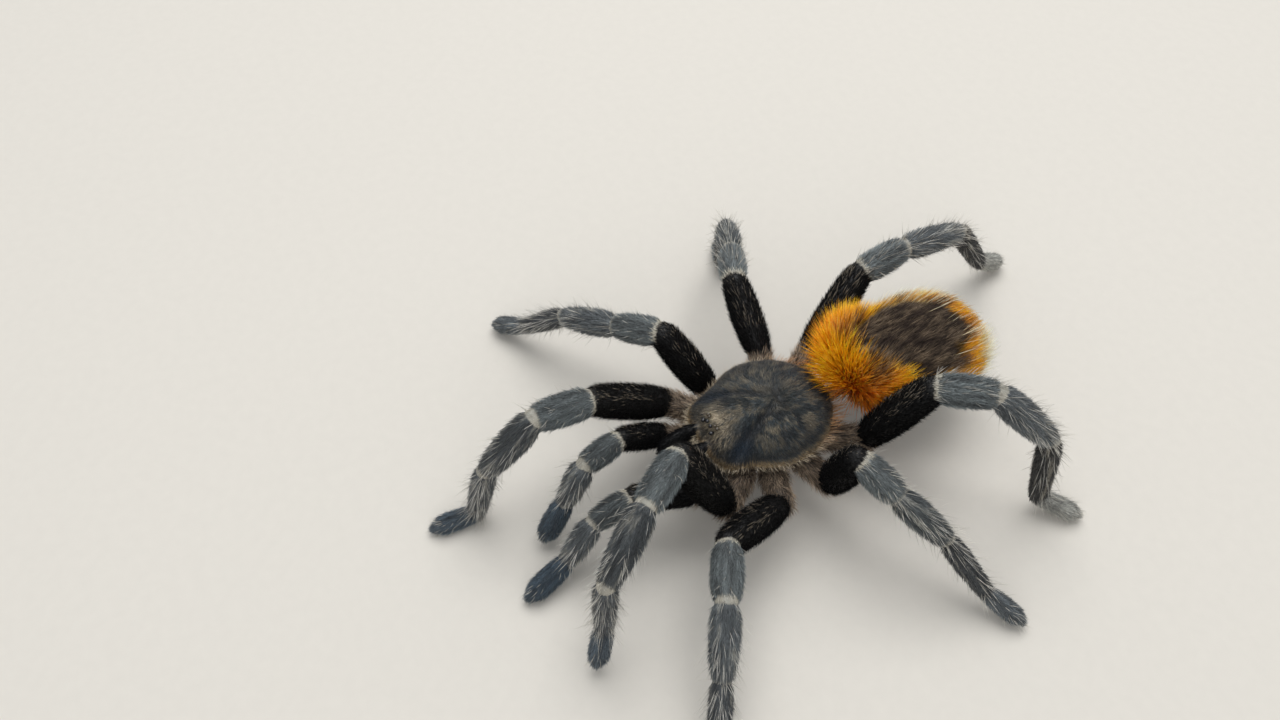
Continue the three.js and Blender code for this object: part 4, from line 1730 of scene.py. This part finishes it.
@dataclass
class Growth:
    """One kind of hair over one region of the skin."""

    ROOT_DEPTH = 0.04  # how far a hair's foot is sunk in the skin
    WIDTHS = (0.7, 1.3)  # of single hairs, against the growth's width

    name: str
    slot: str
    finish: Finish
    parts: tuple[Part, ...]
    density: float  # hairs for each square millimetre
    length: tuple[float, float]
    width: float
    lean: float  # degrees up from the skin
    scatter: float = 10.0  # degrees of stray
    bend: float = 0.4
    rings: int = 1
    root_shade: float = 0.55  # brightness at the root, against the markings
    tip_shade: float = 1.25
    by_side: bool = True  # left and right are pieces of their own
    variety: float = 0.16  # how much one hair differs from the next
    dye: Dye | None = None

    def amount(self, survey: Survey) -> Array:
        """Hairs for each square millimetre at each point."""
        return self.density * survey.on(*self.parts)

    def spread_lengths(self, survey: Survey, rng: np.random.Generator) -> Array:
        """The length of each hair, which stops short of the pale ring at a joint.

        Args:
            survey: Where the roots are.
            rng: The source of chance.

        Returns:
            The lengths.
        """
        lengths = rng.uniform(*self.length, len(survey.points))
        near = np.where(survey.on(Part.FEMUR), 0.45, 0.2) + 0.85 * survey.remaining
        near = np.where(survey.on(Part.PATELLA), np.minimum(near, 0.3 + 1.2 * survey.along), near)
        ringed = survey.on(Part.FEMUR, Part.PATELLA, Part.TIBIA)
        return np.where(ringed, np.minimum(lengths, near), lengths)

    def leans(self, survey: Survey) -> Array:
        """How far each hair stands up from the skin, in degrees."""
        return np.full(len(survey.points), self.lean)

    def bends(self, survey: Survey) -> Array:
        """How far each hair bends over, from 0 to 1."""
        return np.full(len(survey.points), self.bend)

    def colours(self, survey: Survey, base: Array, rng: np.random.Generator) -> tuple[Array, Array]:
        """The colours of each hair's root and tip.

        Args:
            survey: Where the roots are; not used.
            base: The markings there.
            rng: The source of chance.

        Returns:
            The root's colours and the tip's.
        """
        if self.dye:
            own = rng.uniform(self.dye.darkest, self.dye.brightest, (len(base), 1))
            return linear(self.dye.root) * own * self.root_shade, linear(self.dye.tip) * own * self.tip_shade
        own = rng.normal(1.0, self.variety, (len(base), 1)).clip(0.35, 1.8)
        return base * self.root_shade * own, base * self.tip_shade * own

    def gather(self, strands: Strands, rng: np.random.Generator) -> None:
        """Lets hairs lean together where they form tufts. Short coats don't."""

    def grow(self, hide: Hide, animal: Animal, markings: Markings, seed: int) -> tuple[Strands, Survey]:
        """Sets the hairs in the skin.

        Args:
            hide: The skin.
            animal: The forms that the skin covers.
            markings: The colours.
            seed: Fixes the chance.

        Returns:
            The hairs, and where their roots are.
        """
        rng = np.random.default_rng(seed)
        roots, normals = hide.scatter(self.amount(hide.local), rng)
        survey = animal.survey(roots)
        lies = unit(survey.lie - normals * np.sum(survey.lie * normals, axis=1, keepdims=True))
        rise = np.radians(self.leans(survey))[:, None]
        stray = rng.normal(size=roots.shape) * math.sin(math.radians(self.scatter))
        ways = unit(lies * np.cos(rise) + normals * np.sin(rise) + stray)
        root_colours, tip_colours = self.colours(survey, markings.at(survey), rng)
        strands = Strands(roots - normals * self.ROOT_DEPTH, ways, lies, self.spread_lengths(survey, rng),
                          self.width * rng.uniform(*self.WIDTHS, len(roots)), self.bends(survey),
                          root_colours, tip_colours, map_places(survey))
        self.gather(strands, rng)
        return strands, survey

    def make(self, hide: Hide, animal: Animal, markings: Markings, ground: Ground, seed: int,
             material: bpy.types.Material) -> None:
        """Makes the growth's pieces, and warns of any that is over the limit on triangles.

        Args:
            hide: The skin.
            animal: The forms that the skin covers.
            markings: The colours.
            ground: Where the animal stands.
            seed: Fixes the chance.
            material: The hair's finish.
        """
        strands, survey = self.grow(hide, animal, markings, seed)
        halves = {"": np.ones(len(survey.points), bool)}
        if self.by_side:
            halves = {f"_{side.name.lower()}": survey.points[:, 0] * side.value > 0 for side in Side}
        rng = np.random.default_rng(seed + 1)
        for suffix, keep in halves.items():
            mesh = pick(strands, keep).mesh(self.name + suffix, self.rings, ground, rng)
            if len(mesh.polygons) > MOST_TRIANGLES:
                log.warning("%s%s has %d triangles", self.name, suffix, len(mesh.polygons))
            add_piece(self.name + suffix, mesh, material, self.slot)


@dataclass
class RimFringe(Growth):
    """The pale fringe round the carapace's edge."""

    def amount(self, survey: Survey) -> Array:
        """Only the outermost ring of the carapace grows it."""
        return self.density * survey.on(Part.CARAPACE) * ramp(survey.along, 0.95, 0.985)

    def colours(self, survey: Survey, base: Array, rng: np.random.Generator) -> tuple[Array, Array]:
        """Tan, and more orange towards the rear.

        Args:
            survey: Where the points are.
            base: The markings at the roots.
            rng: The source of chance.

        Returns:
            The root's colours and the tip's.
        """
        tan, orange = linear("#cbbca3"), linear("#d18c47")
        rear = ramp(np.abs(survey.around), 1.8, 2.7)
        own = rng.normal(1.0, 0.16, (len(base), 1)).clip(0.5, 1.6)
        tone = mix(np.broadcast_to(tan, base.shape), orange, 0.75 * rear) * own
        return tone * self.root_shade, tone * self.tip_shade

    def spread_lengths(self, survey: Survey, rng: np.random.Generator) -> Array:
        """The length of each hair, longer at the rear."""
        rear = ramp(np.abs(survey.around), 1.8, 2.7)
        return rng.uniform(*self.length, len(rear)) * (1 + 1.3 * rear)


@dataclass
class FemurStreaks(Growth):
    """Scattered pale hairs that lie along the top of the femora."""

    def amount(self, survey: Survey) -> Array:
        """They grow in two loose lines on the upper side, past the middle of the femur."""
        lines = hump(np.abs(survey.around) - 0.45, 0.28)
        return self.density * survey.on(Part.FEMUR) * lines * ramp(survey.along, 2.0, 5.0)


@dataclass
class ShankPlumes(Growth):
    """Long white-blond hair that lies along the tibiae and metatarsi, thickest on the hind legs."""

    def amount(self, survey: Survey) -> Array:
        """It thickens down the tibia and along the metatarsus.

        Args:
            survey: Where the points are.

        Returns:
            Hairs for each square millimetre.
        """
        hind = ramp(survey.points[:, 1], -2, 6)
        down = np.where(survey.on(Part.TIBIA), 0.15 + 0.85 * ramp(survey.remaining, 5.0, 1.5), 1 - 0.7 * hind)
        rows = 0.35 + 0.65 * ramp(np.sin(survey.around * 3 + survey.strand), -0.3, 0.5)
        return self.density * survey.on(*self.parts) * down * rows


@dataclass
class LongBristles(Growth):
    """Single pale bristles that stand out from the shanks and feet, most of all on the hind legs."""

    def amount(self, survey: Survey) -> Array:
        """They crowd towards the joints and on the two hind pairs.

        Args:
            survey: Where the points are.

        Returns:
            Hairs for each square millimetre.
        """
        shank = survey.on(*self.parts)
        hind = survey.points[:, 1] > 4
        joint = 0.5 + 1.5 * hump(survey.remaining, 1.6)
        upper = 0.3 + 0.7 * (np.abs(survey.around) < 1.6)
        thin = 1 - 0.6 * hind * survey.on(Part.METATARSUS)
        return self.density * shank * np.where(hind, 1.9, 0.8) * joint * upper * thin

    def spread_lengths(self, survey: Survey, rng: np.random.Generator) -> Array:
        """Short on the patella and the foot, and long between them."""
        share = np.select([survey.on(Part.PATELLA), survey.on(Part.TARSUS)], [0.7, 0.5], 1.0)
        return rng.uniform(*self.length, len(share)) * share


@dataclass
class AbdomenHair(Growth):
    """The long orange and yellow hair of the abdomen: tufts in front, and lying back behind."""

    GLINT = linear("#d8930a")  # what the tips lean towards
    TUFT_REACH = 1.0  # from a tuft's middle
    TUFT_PULL = 0.55  # how far a tip moves to its tuft's middle
    TUFT_HAIRS = 14
    TUFT_BATCH = 2048  # hairs drawn together at a time

    animal: Animal | None = None

    def amount(self, survey: Survey) -> Array:
        """It keeps off the dark patch and off the belly, and is thickest in front.

        Args:
            survey: Where the points are.

        Returns:
            Hairs for each square millimetre.
        """
        spot = self.animal.abdomen.spot(survey.points)
        patch = self.animal.abdomen.patch(survey.points, np.full(len(spot), 0.5))
        front = 1 + 0.5 * ramp(survey.along, 0.35, 0.15)
        low = ramp(spot[:, 2] + 0.4 * ramp(survey.along, 0.35, 0.15), -0.75, -0.45)
        return self.density * survey.on(Part.ABDOMEN) * front * (1 - patch) * low

    def spread_lengths(self, survey: Survey, rng: np.random.Generator) -> Array:
        """Longest in front, and shorter below, where it turns into belly fur.

        Args:
            survey: Where the points are.
            rng: The source of chance.

        Returns:
            The lengths.
        """
        rise = self.animal.abdomen.spot(survey.points)[:, 2]
        front = ramp(survey.along, 0.35, 0.12)
        low = 0.45 + 0.55 * ramp(rise + 0.75 * front, -0.6, 0.1)
        return rng.uniform(*self.length, len(rise)) * (1 + 0.6 * front) * low

    def leans(self, survey: Survey) -> Array:
        """It stands up in front and lies down behind.

        Args:
            survey: Where the points are.

        Returns:
            Degrees up from the skin.
        """
        x, _, z = survey.points.T
        crest = 30 * (ramp(z, 11.5, 15) + ramp(z, 10.2, 8.8)) * ramp(survey.along, 0.35, 0.2)
        far_edge = 22 * ramp(x, -1.5, -4.0) * ramp(survey.along, 0.45, 0.6) * ramp(z, 10, 12)
        return self.lean + crest + far_edge + 5 * ramp(survey.along, 0.3, 0.5)

    def bends(self, survey: Survey) -> Array:
        """Nearly straight in front, and bent over behind."""
        return self.bend + 0.4 * ramp(survey.along, 0.15, 0.5)

    def colours(self, survey: Survey, base: Array, rng: np.random.Generator) -> tuple[Array, Array]:
        """Deep brown-orange at the root, and yellower at the tip.

        Args:
            survey: Where the points are; not used.
            base: The markings at the roots.
            rng: The source of chance.

        Returns:
            The root's colours and the tip's.
        """
        own = rng.normal(1.0, self.variety, (len(base), 1)).clip(0.4, 1.6)
        warm = base * (0.9, 0.58, 0.25)
        bright = mix(base, np.broadcast_to(self.GLINT, base.shape), 0.2 * (base[:, 0] > 0.15))
        return warm * self.root_shade * own, bright * self.tip_shade * own

    def gather(self, strands: Strands, rng: np.random.Generator) -> None:
        """Draws the tips of neighbouring hairs together.

        Args:
            strands: The hairs, whose ways are changed.
            rng: The source of chance.
        """
        count = len(strands.roots)
        centres = strands.roots[rng.choice(count, max(1, count // self.TUFT_HAIRS), replace=False)]
        tips = strands.roots + strands.ways * strands.lengths[:, None]
        for start in range(0, count, self.TUFT_BATCH):
            rows = slice(start, start + self.TUFT_BATCH)
            gaps = np.linalg.norm(strands.roots[rows, None] - centres, axis=2)
            middle = centres[gaps.argmin(1)] + (tips[rows] - strands.roots[rows])
            tips[rows] = mix(tips[rows], middle, self.TUFT_PULL * (gaps.min(1) < self.TUFT_REACH))
        strands.ways = unit(tips - strands.roots)


@dataclass
class PatchFur(Growth):
    """The dark fur of the patch on the back and of the belly."""

    animal: Animal | None = None
    belly: bool = False

    def amount(self, survey: Survey) -> Array:
        """It fills the patch, or the belly below the flanks.

        Args:
            survey: Where the points are.

        Returns:
            Hairs for each square millimetre.
        """
        abdomen = self.animal.abdomen
        if self.belly:
            share = ramp(abdomen.spot(survey.points)[:, 2], -0.3, -0.6)
        else:
            share = abdomen.patch(survey.points, np.full(len(survey.points), 0.4))
        return self.density * survey.on(Part.ABDOMEN) * share


@dataclass
class CreamHair(Growth):
    """Long cream hairs that fringe the rear and the upper edge of the abdomen."""

    animal: Animal | None = None

    def amount(self, survey: Survey) -> Array:
        """They grow along the patch's right edge, and at the lower left of the rear end.

        Args:
            survey: Where the points are.

        Returns:
            Hairs for each square millimetre.
        """
        x, y = survey.points[:, 0], survey.points[:, 1]
        size, at = self.animal.abdomen.patch_size, self.animal.abdomen.patch_at
        oval = np.hypot((x - at[0]) / size[0], (y - at[1]) / size[1])
        edge = hump(oval - 1.14, 0.12) * ramp(y, 17, 19.5) * ramp(y, 26.0, 24.0) * ramp(x, -1.0, -3.0)
        rise = self.animal.abdomen.spot(survey.points)[:, 2]
        rear = ramp(y, 24.5, 26.5) * ramp(x, 1.5, 3.5) * ramp(rise, -0.5, -0.1)
        few = 0.05 * ramp(survey.along, 0.6, 0.9)
        return self.density * survey.on(Part.ABDOMEN) * np.clip(edge + rear + few, 0, 1) * (rise > -0.5)


def coat_of(animal: Animal) -> list[Growth]:
    """Every growth of the coat, from the short down to the long bristles.

    Args:
        animal: The forms that the coat covers.

    Returns:
        The growths, in the order in which they are made.
    """
    shank = (Part.PATELLA, Part.TIBIA)
    foot = (Part.METATARSUS, Part.TARSUS)
    return [
        Growth("femur_velvet", "femur_velvet", VELVET, (Part.FEMUR,), 40, (0.7, 1.2), 0.085, 34,
               scatter=13, root_shade=0.7, tip_shade=1.2),
        Growth("shank_down", "shank_coat", DOWN, shank, 36, (0.8, 1.25), 0.1, 24, root_shade=0.65),
        Growth("foot_down", "foot_coat", DOWN, foot, 42, (0.6, 0.95), 0.085, 26, root_shade=0.65),
        Growth("leg_base_fuzz", "leg_base_fuzz", DOWN, (Part.HIP,), 24, (1.1, 1.9), 0.09, 42,
               scatter=18, bend=0.6, rings=2, tip_shade=1.8, variety=0.42, by_side=False),
        Growth("carapace_down", "carapace_down", DOWN, (Part.CARAPACE,), 84, (0.5, 0.9), 0.075, 15,
               root_shade=0.65, by_side=False, variety=0.36),
        RimFringe("carapace_fringe", "carapace_down", SILK, (Part.CARAPACE,), 70, (0.9, 1.6), 0.07, 66,
                  scatter=12, rings=2, root_shade=0.8, tip_shade=1.3, by_side=False),
        Growth("jaw_velvet", "femur_velvet", VELVET, (Part.JAW,), 42, (0.5, 0.9), 0.09, 26,
               by_side=False),
        Growth("underside_velvet", "underside_velvet", VELVET, (Part.UNDERSIDE, Part.SPINNERET), 30,
               (0.5, 0.9), 0.1, 28, by_side=False),
        FemurStreaks("femur_streaks", "femur_velvet", BRISTLE, (Part.FEMUR,), 6, (1.0, 1.8), 0.085, 18,
                     rings=2, by_side=False, dye=Dye("#8d8272", "#8d8272", 0.6, 1.3)),
        PatchFur("abdomen_patch_fur", "abdomen_hair", VELVET, (Part.ABDOMEN,), 60, (1.3, 2.1), 0.085, 26,
                 rings=2, animal=animal, by_side=False, tip_shade=1.5, variety=0.36),
        PatchFur("abdomen_belly_fur", "abdomen_hair", VELVET, (Part.ABDOMEN,), 22, (0.9, 1.4), 0.12, 28,
                 animal=animal, belly=True, by_side=False),
        AbdomenHair("abdomen_long_hair", "abdomen_hair", SILK, (Part.ABDOMEN,), 58, (2.2, 3.6), 0.095, 25,
                    bend=0.2, rings=3, root_shade=1.5, tip_shade=1.75, variety=0.22, animal=animal),
        CreamHair("abdomen_cream_hair", "abdomen_hair", BRISTLE, (Part.ABDOMEN,), 22, (3.0, 4.6), 0.085, 42,
                  scatter=9, rings=3, root_shade=1, tip_shade=1.2, animal=animal, by_side=False,
                  dye=Dye("#e6cd90", "#fff6de", 0.75, 1.1)),
        ShankPlumes("shank_plumes", "shank_coat", BRISTLE, (Part.TIBIA, Part.METATARSUS), 5, (1.7, 2.9),
                    0.07, 32, scatter=9, bend=0.25, rings=2, root_shade=1, tip_shade=1,
                    dye=Dye("#b5b1a8", "#fbf8f0", 0.65, 1.15)),
        LongBristles("long_bristles", "shank_coat", BRISTLE, (*shank, *foot), 1.2, (1.8, 3.2), 0.07, 56,
                     scatter=12, bend=0.35, rings=3, root_shade=1, tip_shade=1,
                     dye=Dye("#aca79c", "#f7f2e6", 0.7, 1.2)),
    ]


# ---- eyes, fangs and claws


@dataclass(frozen=True)
class EyePlan:
    """One pair of eyes on the mound."""

    node: str
    radius: float
    stretch: float  # length over width
    finish: Finish


@dataclass(frozen=True)
class Eyes:
    """The eight eyes, close together on their mound."""

    sink: float = 0.14  # the lenses are this much lower than the solids' eyes,
    stand: float = 0.85  # and by this many radii
    plans: tuple[EyePlan, ...] = (
        EyePlan("front_middle", 0.24, 1.0, DARK_LENS),
        EyePlan("front_side", 0.25, 1.25, DARK_LENS),
        EyePlan("rear_middle", 0.17, 1.3, PEARL_LENS),
        EyePlan("rear_side", 0.21, 1.35, PEARL_LENS),
    )

    def make(self, ground: Ground) -> None:
        """Makes each lens in its node's place, as a smooth dome sunk in the mound.

        Args:
            ground: Where the animal stands.
        """
        materials = {plan.finish: plan.finish.make() for plan in self.plans}
        for side in Side:
            for plan in self.plans:
                node = f"{side.name.lower()}_eye_{plan.node}"
                low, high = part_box(node)
                middle = np.array((low + high) / 2) / MM - (ground.x, ground.y, 0)
                halves = plan.radius * np.array([1.0, plan.stretch, 0.95])
                points, faces = ellipsoid(middle - (0, 0, self.sink + self.stand * plan.radius), halves)
                mesh = raw_mesh(node, ground.place(points), faces)
                piece = add_piece(f"lens_{node}", mesh, materials[plan.finish], "eye")
                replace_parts(piece, node)


@dataclass(frozen=True)
class Claws:
    """The pair of small curved claws at each leg's tip; a palp has one."""

    length: float = 0.62
    radius: float = 0.1
    aside: float = 0.22
    hook: float = 0.5  # how far the tip bends down
    sink: float = 0.15  # how far the root is inside the toe
    lowest: float = 0.05  # no claw comes nearer to the floor

    def make(self, animal: Animal, ground: Ground, material: bpy.types.Material) -> None:
        """Makes all the claws as one piece.

        Args:
            animal: The animal that has them.
            ground: Where it stands.
            material: The horn that they are made of.
        """
        soup = Soup()
        for strand, limb in enumerate(animal.limbs):
            toe = [bone for bone in animal.bones if bone.strand == strand][-1]
            for side in (0,) if "palp" in limb.name else (-1, 1):
                soup.add(*self.claw(toe, side))
        points, triangles = soup.joined()
        points[:, 2] = np.maximum(points[:, 2], self.lowest)
        mesh = raw_mesh("claws", ground.place(points), triangles)
        add_piece("claws", mesh, material, "fang")

    def claw(self, toe: Bone, side: int) -> Form:
        """One claw on a toe: a hook that leaves the tip's upper side and bends down.

        Args:
            toe: The foot's last bone.
            side: -1 or 1 for one of a pair, and 0 for a single claw.

        Returns:
            The points and the triangles.
        """
        share = np.linspace(0, 1, 9)
        start = toe.start + toe.along * (toe.length - self.sink) + toe.above * 0.2
        start = start + toe.across * self.aside * side
        out, down = np.outer(share, toe.along), np.outer(share ** 2, toe.above)
        centres = start + out * self.length - down * self.hook
        half = self.radius * (1 - share) ** 0.8 + 0.012
        return loft(centres, toe.across, toe.above, half, half, sides=10)


def make_fangs(animal: Animal, ground: Ground, material: bpy.types.Material) -> None:
    """Makes both fangs in place of their nodes.

    Args:
        animal: The animal that has them.
        ground: Where it stands.
        material: The horn that they are made of.
    """
    for side in Side:
        node = f"{side.name.lower()}_fang"
        points, faces = animal.jaws.fang(animal.prosoma, side)
        mesh = raw_mesh(node, ground.place(points), faces)
        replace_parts(add_piece(f"{node}_horn", mesh, material, "fang"), node)


# ---- the studio


@dataclass(frozen=True)
class Studio:
    """A plain pale floor, soft light from above, and the camera."""

    floor_size: float = 3.0  # metres
    lens: float = 30.0
    sensor: float = 36.0  # its width
    nearest: float = 0.005  # metres from the camera at which things begin to show
    camera_at: tuple[float, float, float] = (57.2, -42.3, 113.8)
    azimuth: float = 65.1  # degrees that the camera's view is turned from +Y
    down: float = 53.1  # degrees that it looks down
    # Each soft box: place in metres from the animal, size, watts.
    boxes: tuple[tuple[tuple[float, float, float], float, float], ...] = (
        ((-0.18, 0.1, 0.55), 0.5, 2.6), ((0.5, -0.25, 0.35), 0.5, 0.8),
    )
    surround: str = "#eef1f4"
    ambient: float = 0.55  # the surround's strength

    def make(self, ground: Ground) -> None:
        """Builds the studio round the animal.

        Args:
            ground: Where the animal stands.
        """
        self._floor()
        self._lights()
        self._camera(ground)

    def _floor(self) -> None:
        """A floor of matt card."""
        half = self.floor_size / 2
        corners = np.array([[-half, -half, 0], [half, -half, 0], [half, half, 0], [-half, half, 0]])
        mesh = raw_mesh("floor", corners, np.array([[0, 1, 2], [0, 2, 3]]))
        mesh.materials.append(CardFinish().make())
        floor = add_object("floor", mesh)

    def _lights(self) -> None:
        """Soft boxes that look at the animal, and an even pale surround."""
        for index, (place, size, watts) in enumerate(self.boxes):
            light = bpy.data.lights.new(f"soft_box_{index}", "AREA")
            light.size = size
            light.energy = watts
            lamp = add_object(light.name, light)
            lamp.location = place
            distance = math.hypot(place[0], place[1])
            lamp.rotation_euler = (math.atan2(distance, place[2]), 0,
                                   math.atan2(place[1], place[0]) + math.pi / 2)
        world = bpy.data.worlds.new("pale_surround")
        world.use_nodes = True
        sky = world.node_tree.nodes["Background"]
        sky.inputs["Color"].default_value = (*linear(self.surround), 1.0)
        sky.inputs["Strength"].default_value = self.ambient
        bpy.context.scene.world = world
        bpy.context.scene.view_settings.view_transform = "Standard"

    def _camera(self, ground: Ground) -> None:
        """Adds the camera, close above the animal's left side.

        Args:
            ground: Where the animal stands.
        """
        data = bpy.data.cameras.new("camera")
        data.lens = self.lens
        data.sensor_width = self.sensor
        data.clip_start = self.nearest
        camera = add_object("camera", data)
        camera.location = ground.place(np.array(self.camera_at))
        camera.rotation_euler = (math.radians(90 - self.down), 0, math.radians(self.azimuth))
        bpy.context.scene.camera = camera


# ---- assembly


def find_ground(abdomen: Abdomen) -> Ground:
    """Finds where the animal's own frame lies in the part's frame, from the abdomen's box.

    Args:
        abdomen: Its sizes and place.

    Returns:
        The ground.
    """
    low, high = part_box("abdomen")
    middle = (low + high) / 2 / MM
    return Ground(middle.x, middle.y - abdomen.at)


def main() -> None:
    """Builds the animal and its studio, in order."""
    logging.basicConfig(level=logging.INFO, format="%(message)s", stream=sys.stdout)
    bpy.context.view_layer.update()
    animal = Animal()
    ground = find_ground(animal.abdomen)
    markings = Markings(animal)
    kept = [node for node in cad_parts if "_eye_" in node or node.endswith("_fang")]
    skin = Skin()
    hide = skin.grow(animal)
    skin.dress(hide, markings, ground, kept)
    hair_materials: dict[str, bpy.types.Material] = {}
    for seed, growth in enumerate(coat_of(animal)):
        if growth.finish.name not in hair_materials:
            hair_materials[growth.finish.name] = growth.finish.make()
        growth.make(hide, animal, markings, ground, 100 + 10 * seed, hair_materials[growth.finish.name])
    horn = HORN.make()
    Eyes().make(ground)
    make_fangs(animal, ground, horn)
    Claws().make(animal, ground, horn)
    Studio().make(ground)


if __name__ == "__main__":
    main()
